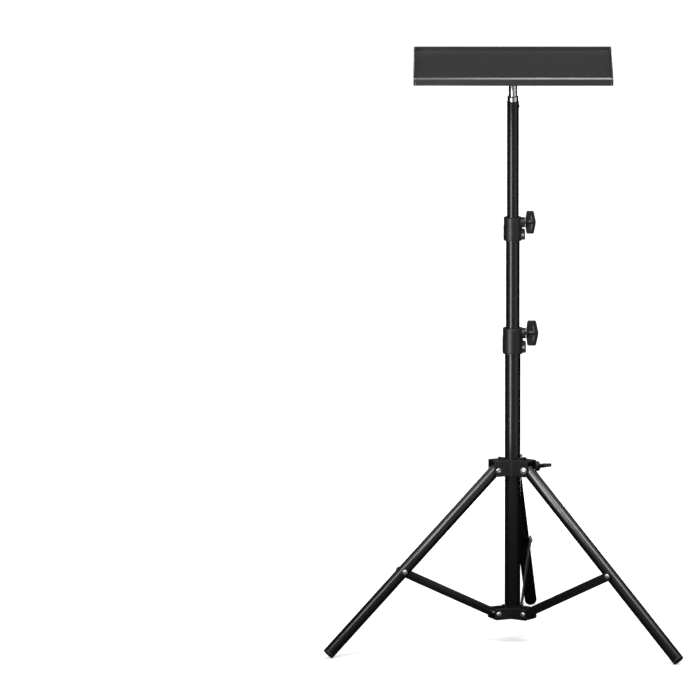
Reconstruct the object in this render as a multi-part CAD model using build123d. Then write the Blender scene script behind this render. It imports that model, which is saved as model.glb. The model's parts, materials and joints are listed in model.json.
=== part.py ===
from build123d import *
import math
import os

# Portable projector stand: a folding tripod, a three-section mast and a shallow tray.
# Millimetres, +Z up, origin on the floor under the mast, +X to the right, +Y to the rear.

# Mast tubes, from the floor up
LOWER_TUBE_R = 12.5
MIDDLE_TUBE_R = 11.0
UPPER_TUBE_R = 9.5
TUBE_WALL = 1.0
LOWER_TUBE_BOTTOM_Z = 44.0
MIDDLE_TUBE_LENGTH = 440.0
UPPER_TUBE_LENGTH = 430.0
UPPER_TUBE_TOP_Z = 873.4

# Running and seating clearances
SLIDE_GAP = 0.25
PIN_GAP = 0.05
SEAT_GAP = 0.05
SIDE_GAP = 0.2

# Tripod: three stations around the mast, azimuths clockwise from the rear
TRIPOD_YAW = 5.5
STATION_AZIMUTHS = {"rear": 0.0, "right": 120.0, "left": 240.0}
PIVOT_RADIUS = 30.0
LUG_REACH = 37.0

# Legs
LEG_R = 9.5
LEG_WALL = 1.2
LEG_SPREAD = 46.7
LEG_TOP_STUB = 7.5
BRACE_POINT = 222.0
FOOT_FLANGE = 3.0
FOOT_PLUG = 16.0

# Leg hub, which slides on the lower tube
HUB_PIVOT_Z = 282.0
HUB_BELOW_PIVOT = 10.0
HUB_ABOVE_PIVOT = 15.8
HUB_TOP_PLATE = 3.2
HUB_SLEEVE_WALL = 3.7
EAR_WALL = 3.0
EAR_GAP = 0.4
EAR_CORNER = 6.5
HUB_EDGE = 1.2
EAR_UPSTAND_REACH = 23.2
UPSTAND_H = 4.0
UPSTAND_HALF_WIDTH = 5.0
HUB_PIN_R = 3.0
HUB_DOME_R = 6.5
HUB_DOME_H = 4.2
HUB_ROLLED_R = 4.4
HUB_ROLLED_H = 2.0

# Bottom spider, fixed to the lower end of the lower tube
SPIDER_PIVOT_Z = 50.0
SPIDER_BELOW_PIVOT = 9.0
SPIDER_ABOVE_PIVOT = 9.0
SPIDER_FLOOR = 1.8
SPIDER_WALL = 2.0
SPIDER_COLLAR_WALL = 5.0
SPIDER_CORNER = 3.0
SPIDER_EDGE = 0.9
END_CAP_FLANGE = 3.0
END_CAP_PLUG = 14.0

# Braces: flat bars on the clockwise side of each leg
BRACE_WIDTH = 14.0
BRACE_THICKNESS = 2.7
BRACE_PIN_R = 2.5
RIVET_HEAD_R = 4.8
RIVET_HEAD_H = 2.4

# Wing knobs with their screws
KNOB_SCREW_R = 3.0
KNOB_NECK_R = 8.0
KNOB_RIB_R = 3.5
KNOB_FLARE_R = 7.0
KNOB_FLARE = 5.5
KNOB_THICKNESS = 6.0
KNOB_ROOT = 9.0
KNOB_SLANT = 1.4
KNOB_END_SHARE = 0.77
KNOB_CORNER = 2.0
KNOB_EDGE = 1.2
KNOB_RUN_GAP = 0.4
SCREW_TIP_GAP = 0.3

# Hub lock, between the rear and the right ear
HUB_LOCK_AZIMUTH = 60.0
HUB_BOSS_R = 7.5
HUB_BOSS_END = 30.0
HUB_KNOB_START = 44.0
HUB_KNOB_HALF_HEIGHT = 19.5
HUB_KNOB_REACH = 20.4
HUB_KNOB_ROLL = 78.5

# Clamp collars on the mast
CLAMP_WALL = 3.4
CLAMP_SKIRT = 0.5
CLAMP_EDGE = 1.2
CLAMP_SKIRT_CHAMFER = 2.0
CLAMP_BOSS_REACH = 5.0
CLAMP_BOSS_EDGE = 0.4
TUBE_END_BELOW_SCREW = 5.5
PINCH_LUG_REACH = 5.2
PINCH_LUG_CORNER = 2.3
PINCH_LUG_HALF_WIDTH = 8.0
PINCH_SLOT = 2.0
PINCH_SCREW_R = 1.8
PINCH_HEAD_R = 3.2
PINCH_HEAD_H = 2.2
PINCH_NUT_R = 3.4
PINCH_NUT_H = 2.4
LOWER_CLAMP = {"screw_z": 500.0, "above": 8.6, "below": 32.3, "boss_r": 8.5, "lug": 17.0}
UPPER_CLAMP = {"screw_z": 678.5, "above": 8.4, "below": 28.5, "boss_r": 8.3, "lug": 15.2}
LOWER_WING = {"half": 20.1, "reach": 19.6}
UPPER_WING = {"half": 18.2, "reach": 16.8}
PINCH_LUG_LIFT = 1.7
KNOB_STAND_OFF = 0.8

# Spigot, tray socket and tray
SPIGOT_R = 7.0
SPIGOT_COLLAR_R = 8.9
SPIGOT_COLLAR_H = 8.6
SPIGOT_PLUG = 30.0
TUBE_RIVET_BELOW_TOP = 8.4
TUBE_RIVET_R = 3.0
TUBE_RIVET_H = 1.4
TRAY_WIDTH = 316.0
TRAY_DEPTH = 290.0
TRAY_BOTTOM_Z = 923.2
TRAY_LIP_H = 13.0
TRAY_LIP_T = 3.2
TRAY_LIP_ROLL = 2.3
TRAY_LIP_FOOT = 1.6
TRAY_LIP_EDGE = 0.7
TRAY_DECK_T = 1.2
TRAY_WELL = 6.4
SOCKET_PLATE_R = 22.0
SOCKET_PLATE_T = 2.0
SOCKET_BUSH_R = 10.5
SOCKET_BUSH_H = 9.0

# Worked-out places
HUB_BOTTOM_Z = HUB_PIVOT_Z - HUB_BELOW_PIVOT
HUB_TOP_Z = HUB_PIVOT_Z + HUB_ABOVE_PIVOT
HUB_SLEEVE_R = LOWER_TUBE_R + SLIDE_GAP + HUB_SLEEVE_WALL
EAR_INNER = LEG_R + EAR_GAP
EAR_OUTER = EAR_INNER + EAR_WALL
SPIDER_BOTTOM_Z = SPIDER_PIVOT_Z - SPIDER_BELOW_PIVOT
SPIDER_TOP_Z = SPIDER_PIVOT_Z + SPIDER_ABOVE_PIVOT
SPIDER_COLLAR_R = LOWER_TUBE_R + SPIDER_COLLAR_WALL
BRACE_INNER_FACE = LEG_R + SIDE_GAP
BRACE_OUTER_FACE = BRACE_INNER_FACE + BRACE_THICKNESS
SPIDER_INNER = BRACE_OUTER_FACE + SIDE_GAP
SPIDER_OUTER = SPIDER_INNER + SPIDER_WALL
LEG_LEAN = math.radians(LEG_SPREAD)
LEG_LENGTH = (HUB_PIVOT_Z - LEG_R * math.sin(LEG_LEAN)) / math.cos(LEG_LEAN)
BRACE_POINT_Y = PIVOT_RADIUS + BRACE_POINT * math.sin(LEG_LEAN)
BRACE_POINT_Z = HUB_PIVOT_Z - BRACE_POINT * math.cos(LEG_LEAN)
LOWER_TUBE_TOP_Z = LOWER_CLAMP["screw_z"] - TUBE_END_BELOW_SCREW
MIDDLE_TUBE_TOP_Z = UPPER_CLAMP["screw_z"] - TUBE_END_BELOW_SCREW
DECK_TOP_Z = TRAY_BOTTOM_Z + TRAY_LIP_H - TRAY_WELL
DECK_BOTTOM_Z = DECK_TOP_Z - TRAY_DECK_T

BASE = (Align.CENTER, Align.CENTER, Align.MIN)


def save(shape, node):
    """Write one piece to its own file."""
    export_step(shape, f"parts/{node}.step")


def upright(radius, bottom, top):
    """Round bar on the mast axis between two heights."""
    return Pos(0, 0, bottom) * Cylinder(radius, top - bottom, align=BASE)


def along_x(radius, start, end, y=0.0, z=0.0):
    """Round bar parallel to X."""
    return Pos(start, y, z) * Rot(0, 90, 0) * Cylinder(radius, end - start, align=BASE)


def along_y(radius, start, end, x=0.0, z=0.0):
    """Round bar parallel to Y."""
    return Pos(x, start, z) * Rot(-90, 0, 0) * Cylinder(radius, end - start, align=BASE)


def dome(radius, height):
    """Rivet head: a cap of a ball, standing on the XY plane."""
    ball = (radius**2 + height**2) / (2 * height)
    return Cylinder(radius, height, align=BASE) & Pos(0, 0, height - ball) * Sphere(ball)


def dome_to_right(radius, height, x, y=0.0, z=0.0):
    """Rivet head on a face that looks along +X."""
    return Pos(x, y, z) * Rot(0, 90, 0) * dome(radius, height)


def dome_to_left(radius, height, x, y=0.0, z=0.0):
    """Rivet head on a face that looks along -X."""
    return Pos(x, y, z) * Rot(0, -90, 0) * dome(radius, height)


def at_station(shape, azimuth):
    """Turn a piece drawn for the rear station to its own azimuth."""
    return Rot(0, 0, -(azimuth + TRIPOD_YAW)) * shape


def all_stations(shape):
    """One copy of a piece at each of the three stations."""
    return Compound(children=[at_station(shape, azimuth) for azimuth in STATION_AZIMUTHS.values()])


def tube(radius, wall, bottom, top):
    """Round tube on the mast axis."""
    return upright(radius, bottom, top) - upright(radius - wall, bottom, top)


def leg_frame(shape):
    """Swing a leg drawn hanging from the origin out to its spread, at the rear station."""
    return Pos(0, PIVOT_RADIUS, HUB_PIVOT_Z) * Rot(LEG_SPREAD, 0, 0) * shape


def leg_tube():
    """Leg tube with its pivot hole and its brace rivet hole."""
    shape = tube(LEG_R, LEG_WALL, -(LEG_LENGTH - FOOT_FLANGE), LEG_TOP_STUB)
    shape -= along_x(HUB_PIN_R + PIN_GAP, -LEG_R, LEG_R)
    shape -= along_x(BRACE_PIN_R + PIN_GAP, -LEG_R, LEG_R, z=-BRACE_POINT)
    return leg_frame(shape)


def leg_foot():
    """Plug foot, flush with the leg and cut square to it."""
    flange = upright(LEG_R, -LEG_LENGTH, -(LEG_LENGTH - FOOT_FLANGE))
    plug_top = -(LEG_LENGTH - FOOT_FLANGE - FOOT_PLUG)
    plug = upright(LEG_R - LEG_WALL - SEAT_GAP, -(LEG_LENGTH - FOOT_FLANGE), plug_top)
    return leg_frame(flange + plug)


def leg_rivet():
    """Brace rivet in the leg, with a saddle under its head where it meets the round tube."""
    z = -BRACE_POINT
    shank = along_x(BRACE_PIN_R, -LEG_R, LEG_R, z=z)
    saddle = along_x(RIVET_HEAD_R, -LEG_R, -LEG_R + RIVET_HEAD_H, z=z)
    saddle -= upright(LEG_R + SEAT_GAP, z - LEG_R, z + LEG_R)
    head = dome_to_left(RIVET_HEAD_R, RIVET_HEAD_H, -LEG_R, z=z)
    return leg_frame(shank + saddle + head)


def brace_bar():
    """Flat bar with round ends, from the spider pivot to the leg rivet."""
    low = Vector(PIVOT_RADIUS, SPIDER_PIVOT_Z)
    high = Vector(BRACE_POINT_Y, BRACE_POINT_Z)
    span = high - low
    angle = math.degrees(math.atan2(span.Y, span.X))
    middle = (low + high) * 0.5
    flat = Pos(middle.X, middle.Y) * Rot(0, 0, angle) * SlotCenterToCenter(span.length, BRACE_WIDTH)
    bar = extrude(Plane.YZ.offset(BRACE_INNER_FACE) * flat, BRACE_THICKNESS)
    return bar - along_x(BRACE_PIN_R + PIN_GAP, 0, LUG_REACH, y=PIVOT_RADIUS, z=SPIDER_PIVOT_Z)


def brace_rivet_head():
    """Outer head of the brace rivet, on the bar."""
    return dome_to_right(RIVET_HEAD_R, RIVET_HEAD_H, BRACE_OUTER_FACE, BRACE_POINT_Y, BRACE_POINT_Z)


def lug_block(half_width, bottom, top, corner, edge):
    """One straight lug at the rear station, its lower outer corner well rounded and its edges eased."""
    block = Pos(0, LUG_REACH / 2, bottom) * Box(2 * half_width, LUG_REACH, top - bottom, align=BASE)
    lower_outer = block.edges().filter_by(Axis.X).group_by(Axis.Y)[-1].sort_by(Axis.Z)[0]
    block = fillet(lower_outer, corner)
    inner_end = block.faces().sort_by(Axis.Y)[0].edges()
    side_edges = block.faces().filter_by(Axis.X).edges()
    return fillet([one for one in side_edges if one not in inner_end], edge)


def channel(half_width, start, bottom, top):
    """Cut that leaves a lug as two walls, open at its outer end."""
    length = LUG_REACH - start
    cut = Box(2 * half_width, length, top - bottom, align=BASE)
    return Pos(0, start + length / 2, bottom) * cut


def upstand(reach, level):
    """Wedge on top of a lug at the rear station, highest at its outer end and level with the lug at the mast."""
    outer = (reach, level + UPSTAND_H)
    profile = make_face(Polyline((0, level), (reach, level), outer, close=True))
    return extrude(Plane.YZ * profile, UPSTAND_HALF_WIDTH, both=True)


def leg_hub():
    """Sliding hub: a sleeve with three ears, each closed on top and open outwards and downwards."""
    body = upright(HUB_SLEEVE_R, HUB_BOTTOM_Z, HUB_TOP_Z)
    ear = lug_block(EAR_OUTER, HUB_BOTTOM_Z, HUB_TOP_Z, EAR_CORNER, HUB_EDGE)
    leg_way = channel(EAR_INNER, HUB_SLEEVE_R, HUB_BOTTOM_Z, HUB_TOP_Z - HUB_TOP_PLATE)
    hole = along_x(HUB_PIN_R + SEAT_GAP, -EAR_OUTER, EAR_OUTER, y=PIVOT_RADIUS, z=HUB_PIVOT_Z)
    for azimuth in STATION_AZIMUTHS.values():
        body += at_station(ear, azimuth)
        body += at_station(upstand(EAR_UPSTAND_REACH, HUB_TOP_Z), azimuth)
    boss = along_y(HUB_BOSS_R, 0, HUB_BOSS_END, z=HUB_PIVOT_Z)
    body += at_station(boss, HUB_LOCK_AZIMUTH)
    for azimuth in STATION_AZIMUTHS.values():
        body -= at_station(leg_way, azimuth)
        body -= at_station(hole, azimuth)
    body -= upright(LOWER_TUBE_R + SLIDE_GAP, HUB_BOTTOM_Z, HUB_TOP_Z + UPSTAND_H)
    screw_way = along_y(KNOB_SCREW_R + PIN_GAP, 0, HUB_BOSS_END, z=HUB_PIVOT_Z)
    return body - at_station(screw_way, HUB_LOCK_AZIMUTH)


def hub_rivet():
    """Leg pivot: a dome head on the clockwise side and a rolled end on the other."""
    shank = along_x(HUB_PIN_R, -EAR_OUTER, EAR_OUTER, y=PIVOT_RADIUS, z=HUB_PIVOT_Z)
    head = dome_to_right(HUB_DOME_R, HUB_DOME_H, EAR_OUTER, PIVOT_RADIUS, HUB_PIVOT_Z)
    rolled = dome_to_left(HUB_ROLLED_R, HUB_ROLLED_H, -EAR_OUTER, PIVOT_RADIUS, HUB_PIVOT_Z)
    return shank + head + rolled


def bottom_spider():
    """Fixed spider: a collar with three lugs, each a channel open outwards and upwards."""
    body = upright(SPIDER_COLLAR_R, SPIDER_BOTTOM_Z, SPIDER_TOP_Z)
    lug = lug_block(SPIDER_OUTER, SPIDER_BOTTOM_Z, SPIDER_TOP_Z, SPIDER_CORNER, SPIDER_EDGE)
    brace_way = channel(SPIDER_INNER, SPIDER_COLLAR_R, SPIDER_BOTTOM_Z + SPIDER_FLOOR, SPIDER_TOP_Z)
    hole = along_x(BRACE_PIN_R + SEAT_GAP, -SPIDER_OUTER, SPIDER_OUTER, y=PIVOT_RADIUS, z=SPIDER_PIVOT_Z)
    for azimuth in STATION_AZIMUTHS.values():
        body += at_station(lug, azimuth)
        body += at_station(upstand(SPIDER_COLLAR_R - SPIDER_EDGE, SPIDER_TOP_Z), azimuth)
    for azimuth in STATION_AZIMUTHS.values():
        body -= at_station(brace_way, azimuth)
        body -= at_station(hole, azimuth)
    return body - upright(LOWER_TUBE_R + SEAT_GAP, SPIDER_BOTTOM_Z, SPIDER_TOP_Z + UPSTAND_H)


def spider_rivet():
    """Brace pivot across one lug, with a head on each side."""
    shank = along_x(BRACE_PIN_R, -SPIDER_OUTER, SPIDER_OUTER, y=PIVOT_RADIUS, z=SPIDER_PIVOT_Z)
    right = dome_to_right(RIVET_HEAD_R, RIVET_HEAD_H, SPIDER_OUTER, PIVOT_RADIUS, SPIDER_PIVOT_Z)
    left = dome_to_left(RIVET_HEAD_R, RIVET_HEAD_H, -SPIDER_OUTER, PIVOT_RADIUS, SPIDER_PIVOT_Z)
    return shank + right + left


def tube_end_cap():
    """Plug that closes the lower end of the mast."""
    flange = upright(LOWER_TUBE_R, LOWER_TUBE_BOTTOM_Z - END_CAP_FLANGE, LOWER_TUBE_BOTTOM_Z)
    plug_r = LOWER_TUBE_R - TUBE_WALL - SEAT_GAP
    return flange + upright(plug_r, LOWER_TUBE_BOTTOM_Z, LOWER_TUBE_BOTTOM_Z + END_CAP_PLUG)


def wing_knob(neck_start, wing_start, half_height, reach):
    """Wing knob on the X axis: a flat wing with a pointed outer edge, a rib and a flared neck."""
    tip_x = wing_start + reach
    end_x = wing_start + KNOB_END_SHARE * reach
    inner_x = wing_start + KNOB_SLANT
    outline = Polyline(
        (wing_start, KNOB_ROOT),
        (inner_x, half_height),
        (end_x, half_height),
        (tip_x, 0),
        (end_x, -half_height),
        (inner_x, -half_height),
        (wing_start, -KNOB_ROOT),
        close=True,
    )
    wing = extrude(make_face(Plane.XZ * outline), KNOB_THICKNESS / 2, both=True)
    wing = fillet(wing.edges().filter_by(Axis.Y), KNOB_CORNER)
    wing = fillet(wing.faces().filter_by(Axis.Y).edges(), KNOB_EDGE)
    knob = wing + along_x(KNOB_RIB_R, wing_start, tip_x - KNOB_CORNER)
    flare = Cone(KNOB_FLARE_R, KNOB_THICKNESS / 2, KNOB_FLARE, align=BASE)
    knob += Pos(wing_start, 0, 0) * Rot(0, 90, 0) * flare
    knob += along_x(KNOB_NECK_R, neck_start, wing_start + KNOB_SLANT)
    return knob - along_x(KNOB_SCREW_R + SEAT_GAP, neck_start, wing_start)


def knob_screw(tip, wing_start):
    """Steel screw of a wing knob, along the X axis."""
    return along_x(KNOB_SCREW_R, tip, wing_start)


def on_hub_lock(shape):
    """Place a piece drawn on the X axis on the hub's lock, rolled as it stands when tight."""
    lock = Rot(0, 0, 90) * Rot(HUB_KNOB_ROLL, 0, 0) * shape
    return at_station(Pos(0, 0, HUB_PIVOT_Z) * lock, HUB_LOCK_AZIMUTH)


def clamp_radius(held_r):
    """Outer radius of the collar that grips a tube."""
    return held_r + CLAMP_WALL


def clamp_boss_end(held_r):
    """How far the screw boss of a collar stands out from the mast axis."""
    return clamp_radius(held_r) + CLAMP_BOSS_REACH


def pinch_screw_x(held_r):
    """Distance of the pinch screw from the mast axis."""
    return clamp_radius(held_r) + PINCH_SCREW_R


def clamp_bottom(clamp):
    """Height of a collar's lower end."""
    return clamp["screw_z"] - clamp["below"]


def pinch_screw_z(clamp):
    """Height of the pinch screw."""
    return clamp_bottom(clamp) + PINCH_LUG_LIFT + clamp["lug"] / 2


def pinch_lug(clamp, reach):
    """Lug of a collar, before its split: a block with a rounded outer end."""
    block = Pos(reach / 2, 0, 0) * Box(reach, 2 * PINCH_LUG_HALF_WIDTH, clamp["lug"], align=BASE)
    outer_edges = block.edges().filter_by(Axis.Y).group_by(Axis.X)[-1]
    return Pos(0, 0, clamp_bottom(clamp) + PINCH_LUG_LIFT) * fillet(outer_edges, PINCH_LUG_CORNER)


def clamp_collar(clamp, held_r, sliding_r):
    """Collar that grips one tube with a pinch lug and guides the next one above it."""
    outer = clamp_radius(held_r)
    bottom = clamp_bottom(clamp)
    step = clamp["screw_z"] - TUBE_END_BELOW_SCREW
    top = clamp["screw_z"] + clamp["above"]
    neck = upright(outer, bottom, top)
    neck = fillet(neck.edges().sort_by(Axis.Z)[-1], CLAMP_EDGE)
    skirt = upright(outer + CLAMP_SKIRT, bottom, step)
    skirt = chamfer(skirt.edges().sort_by(Axis.Z)[0], CLAMP_SKIRT_CHAMFER)
    boss = along_x(clamp["boss_r"], 0, clamp_boss_end(held_r), z=clamp["screw_z"])
    boss = fillet(boss.edges().sort_by(Axis.X)[-1], CLAMP_BOSS_EDGE)
    lug_end = outer + PINCH_LUG_REACH
    body = neck + skirt + boss + pinch_lug(clamp, lug_end)
    body -= Pos(lug_end / 2, 0, bottom) * Box(lug_end, PINCH_SLOT, step - bottom, align=BASE)
    body -= upright(held_r + SEAT_GAP, bottom, step)
    body -= upright(sliding_r + SLIDE_GAP, step, top)
    body -= along_x(KNOB_SCREW_R + PIN_GAP, 0, clamp_boss_end(held_r), z=clamp["screw_z"])
    screw_x = pinch_screw_x(held_r)
    screw_z = pinch_screw_z(clamp)
    half = PINCH_LUG_HALF_WIDTH
    body -= along_y(PINCH_SCREW_R + SEAT_GAP, -half, half, screw_x, screw_z)
    body -= along_y(PINCH_HEAD_R + SEAT_GAP, -outer - half, -half, screw_x, screw_z)
    return body - along_y(PINCH_NUT_R + SEAT_GAP, half, outer + half, screw_x, screw_z)


def pinch_screw(clamp, held_r):
    """Pinch screw across the split lug: round head in front, nut behind."""
    x = pinch_screw_x(held_r)
    z = pinch_screw_z(clamp)
    half = PINCH_LUG_HALF_WIDTH
    shank = along_y(PINCH_SCREW_R, -half, half, x, z)
    head = Pos(x, -half, z) * Rot(90, 0, 0) * dome(PINCH_HEAD_R, PINCH_HEAD_H)
    nut = Pos(x, half, z) * Rot(-90, 0, 0) * extrude(RegularPolygon(PINCH_NUT_R, 6), PINCH_NUT_H)
    return shank + head + nut


def tube_rivet():
    """Small rivet on the right of the upper tube, with a saddle on the round wall."""
    z = UPPER_TUBE_TOP_Z - TUBE_RIVET_BELOW_TOP
    saddle = along_x(TUBE_RIVET_R, UPPER_TUBE_R - TUBE_RIVET_H, UPPER_TUBE_R, z=z)
    saddle -= upright(UPPER_TUBE_R, z - UPPER_TUBE_R, z + UPPER_TUBE_R)
    return saddle + dome_to_right(TUBE_RIVET_R, TUBE_RIVET_H, UPPER_TUBE_R, z=z)


def spigot():
    """Turned spigot: a plug in the upper tube, a rounded collar and a plain stem."""
    plug_r = UPPER_TUBE_R - TUBE_WALL - SEAT_GAP
    plug = upright(plug_r, UPPER_TUBE_TOP_Z - SPIGOT_PLUG, UPPER_TUBE_TOP_Z)
    collar = upright(SPIGOT_COLLAR_R, UPPER_TUBE_TOP_Z, UPPER_TUBE_TOP_Z + SPIGOT_COLLAR_H)
    collar = fillet(collar.edges().sort_by(Axis.Z)[-1], SPIGOT_COLLAR_R - SPIGOT_R)
    stem = upright(SPIGOT_R, UPPER_TUBE_TOP_Z, DECK_BOTTOM_Z - SOCKET_PLATE_T)
    return plug + collar + stem


def tray_socket():
    """Socket under the tray: a round plate with a bush that takes the spigot."""
    plate_z = DECK_BOTTOM_Z - SOCKET_PLATE_T
    plate = upright(SOCKET_PLATE_R, plate_z, DECK_BOTTOM_Z)
    bush = upright(SOCKET_BUSH_R, plate_z - SOCKET_BUSH_H, plate_z)
    return plate + bush - upright(SPIGOT_R + SEAT_GAP, plate_z - SOCKET_BUSH_H, plate_z)


def tray_deck():
    """Flat deck of the tray, set between its lips."""
    inner_width = TRAY_WIDTH - 2 * TRAY_LIP_T
    inner_depth = TRAY_DEPTH - 2 * TRAY_LIP_T
    return Pos(0, 0, DECK_BOTTOM_Z) * Box(inner_width, inner_depth, TRAY_DECK_T, align=BASE)


def lip(length_x, length_y, x, y, run):
    """One folded lip along the given axis: outer edges rolled, inner top edge eased."""
    shape = Pos(x, y, TRAY_BOTTOM_Z) * Box(length_x, length_y, TRAY_LIP_H, align=BASE)
    levels = shape.edges().filter_by(run).group_by(Axis.Z)
    shape = fillet(levels[-1].sort_by_distance((0, 0, 0))[-1], TRAY_LIP_ROLL)
    levels = shape.edges().filter_by(run).group_by(Axis.Z)
    shape = fillet(levels[-1].sort_by_distance((0, 0, 0))[0], TRAY_LIP_EDGE)
    levels = shape.edges().filter_by(run).group_by(Axis.Z)
    return fillet(levels[0].sort_by_distance((0, 0, 0))[-1], TRAY_LIP_FOOT)


def tray_lips():
    """The four lips of the tray by name; the side lips run the full depth."""
    side_x = TRAY_WIDTH / 2 - TRAY_LIP_T / 2
    end_y = TRAY_DEPTH / 2 - TRAY_LIP_T / 2
    end_length = TRAY_WIDTH - 2 * TRAY_LIP_T
    return {
        "tray_front_lip": lip(end_length, TRAY_LIP_T, 0, -end_y, Axis.X),
        "tray_rear_lip": lip(end_length, TRAY_LIP_T, 0, end_y, Axis.X),
        "tray_left_lip": lip(TRAY_LIP_T, TRAY_DEPTH, -side_x, 0, Axis.Y),
        "tray_right_lip": lip(TRAY_LIP_T, TRAY_DEPTH, side_x, 0, Axis.Y),
    }


def build_mast():
    """Tubes, clamps, knobs and the spigot."""
    save(tube(LOWER_TUBE_R, TUBE_WALL, LOWER_TUBE_BOTTOM_Z, LOWER_TUBE_TOP_Z), "lower_tube")
    middle_bottom = MIDDLE_TUBE_TOP_Z - MIDDLE_TUBE_LENGTH
    save(tube(MIDDLE_TUBE_R, TUBE_WALL, middle_bottom, MIDDLE_TUBE_TOP_Z), "middle_tube")
    upper_bottom = UPPER_TUBE_TOP_Z - UPPER_TUBE_LENGTH
    save(tube(UPPER_TUBE_R, TUBE_WALL, upper_bottom, UPPER_TUBE_TOP_Z), "upper_tube")
    save(tube_end_cap(), "tube_end_cap")
    save(spigot(), "spigot")
    save(tube_rivet(), "tube_rivet")
    clamps = {
        "lower": (LOWER_CLAMP, LOWER_WING, LOWER_TUBE_R, MIDDLE_TUBE_R),
        "upper": (UPPER_CLAMP, UPPER_WING, MIDDLE_TUBE_R, UPPER_TUBE_R),
    }
    for name, (clamp, wing, held_r, sliding_r) in clamps.items():
        save(clamp_collar(clamp, held_r, sliding_r), f"{name}_clamp_collar")
        save(pinch_screw(clamp, held_r), f"{name}_clamp_pinch_screw")
        boss_end = clamp_boss_end(held_r)
        wing_start = boss_end + KNOB_STAND_OFF
        knob = wing_knob(boss_end + KNOB_RUN_GAP, wing_start, wing["half"], wing["reach"])
        screw = knob_screw(sliding_r + SCREW_TIP_GAP, wing_start)
        save(Pos(0, 0, clamp["screw_z"]) * knob, f"{name}_clamp_knob")
        save(Pos(0, 0, clamp["screw_z"]) * screw, f"{name}_clamp_screw")


def build_tripod():
    """Hub, spider, legs and braces."""
    save(leg_hub(), "leg_hub")
    save(all_stations(hub_rivet()), "hub_rivets")
    save(bottom_spider(), "bottom_spider")
    save(all_stations(spider_rivet()), "spider_rivets")
    neck_start = HUB_BOSS_END + KNOB_RUN_GAP
    hub_knob = wing_knob(neck_start, HUB_KNOB_START, HUB_KNOB_HALF_HEIGHT, HUB_KNOB_REACH)
    save(on_hub_lock(hub_knob), "hub_knob")
    save(on_hub_lock(knob_screw(LOWER_TUBE_R + SCREW_TIP_GAP, HUB_KNOB_START)), "hub_lock_screw")
    for name, azimuth in STATION_AZIMUTHS.items():
        save(at_station(leg_tube(), azimuth), f"{name}_leg_tube")
        save(at_station(leg_foot(), azimuth), f"{name}_leg_foot")
        save(at_station(leg_rivet(), azimuth), f"{name}_leg_rivet")
        save(at_station(brace_bar(), azimuth), f"{name}_brace")
        save(at_station(brace_rivet_head(), azimuth), f"{name}_brace_rivet")


def build_tray():
    """Tray, its lips and the socket that carries it."""
    save(tray_socket(), "tray_socket")
    save(tray_deck(), "tray_deck")
    for node, shape in tray_lips().items():
        save(shape, node)


os.makedirs("parts", exist_ok=True)
build_mast()
build_tripod()
build_tray()
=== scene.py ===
"""Looks of a portable projector stand: tubes, mouldings, rivets, tray, studio and camera.

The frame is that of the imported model: the mast stands on the Z axis with the floor at zero, the clamp
knobs point along +X and the rear leg points along +Y. Sizes of the stand are in millimetres, and the studio
and all finished meshes are in metres.
"""

from __future__ import annotations

import json
import logging
import math
from collections.abc import Sequence
from dataclasses import dataclass
from enum import Enum
from typing import Any

import bmesh
import bpy
from mathutils import Matrix, Vector


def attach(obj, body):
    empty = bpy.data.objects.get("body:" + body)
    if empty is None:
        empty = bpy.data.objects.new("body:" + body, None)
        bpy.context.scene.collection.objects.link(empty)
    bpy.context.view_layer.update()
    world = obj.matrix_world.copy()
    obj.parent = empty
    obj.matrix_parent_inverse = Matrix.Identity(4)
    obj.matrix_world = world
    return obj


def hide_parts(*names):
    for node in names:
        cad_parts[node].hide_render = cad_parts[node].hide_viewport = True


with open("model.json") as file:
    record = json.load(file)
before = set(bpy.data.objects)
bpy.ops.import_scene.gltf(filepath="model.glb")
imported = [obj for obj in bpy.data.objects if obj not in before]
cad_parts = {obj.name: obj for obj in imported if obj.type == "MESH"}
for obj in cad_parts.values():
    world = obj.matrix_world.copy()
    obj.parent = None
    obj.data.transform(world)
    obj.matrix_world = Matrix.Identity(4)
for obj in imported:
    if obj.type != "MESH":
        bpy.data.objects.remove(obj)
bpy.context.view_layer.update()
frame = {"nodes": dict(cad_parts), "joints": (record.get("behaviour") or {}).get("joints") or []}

MM = 0.001
RIGHT = Vector((1.0, 0.0, 0.0))
BACK = Vector((0.0, 1.0, 0.0))
UP = Vector((0.0, 0.0, 1.0))
# Gap between a plug and its bore, in millimetres.
SLIP = 0.05
# Points of a mesh that are closer than this, in metres, become one.
WELD = 1e-7
Point = tuple[float, float]
Corner = tuple[float, float, float]
Place = tuple[float, float, float]
Mark = tuple[Vector, Vector]
log = logging.getLogger("projector_stand")


# Materials


def linear(colour: str) -> tuple[float, float, float, float]:
    """Turn an sRGB colour to linear light.

    Args:
        colour: Six hex digits after a hash sign.

    Returns:
        Red, green and blue with a full alpha.
    """
    levels = [int(colour[start : start + 2], 16) / 255 for start in (1, 3, 5)]
    red, green, blue = (v / 12.92 if v <= 0.04045 else ((v + 0.055) / 1.055) ** 2.4 for v in levels)
    return red, green, blue, 1.0


def add_node(
    tree: bpy.types.NodeTree,
    kind: str,
    settings: dict[Any, Any] | None = None,
    links: dict[Any, bpy.types.NodeSocket] | None = None,
) -> bpy.types.Node:
    """Add a node to a tree, set it up and join its inputs.

    Args:
        tree: Shader or geometry tree.
        kind: Blender's name for the kind of node.
        settings: Values for the node's own properties, or for its inputs by name or number.
        links: Outputs of other nodes by the name or number of the input that takes them.

    Returns:
        The new node.
    """
    node = tree.nodes.new(kind)
    for key, value in (settings or {}).items():
        if isinstance(key, str) and key in node.bl_rna.properties:
            setattr(node, key, value)
        else:
            node.inputs[key].default_value = value
    for key, source in (links or {}).items():
        tree.links.new(source, node.inputs[key])
    return node


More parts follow.
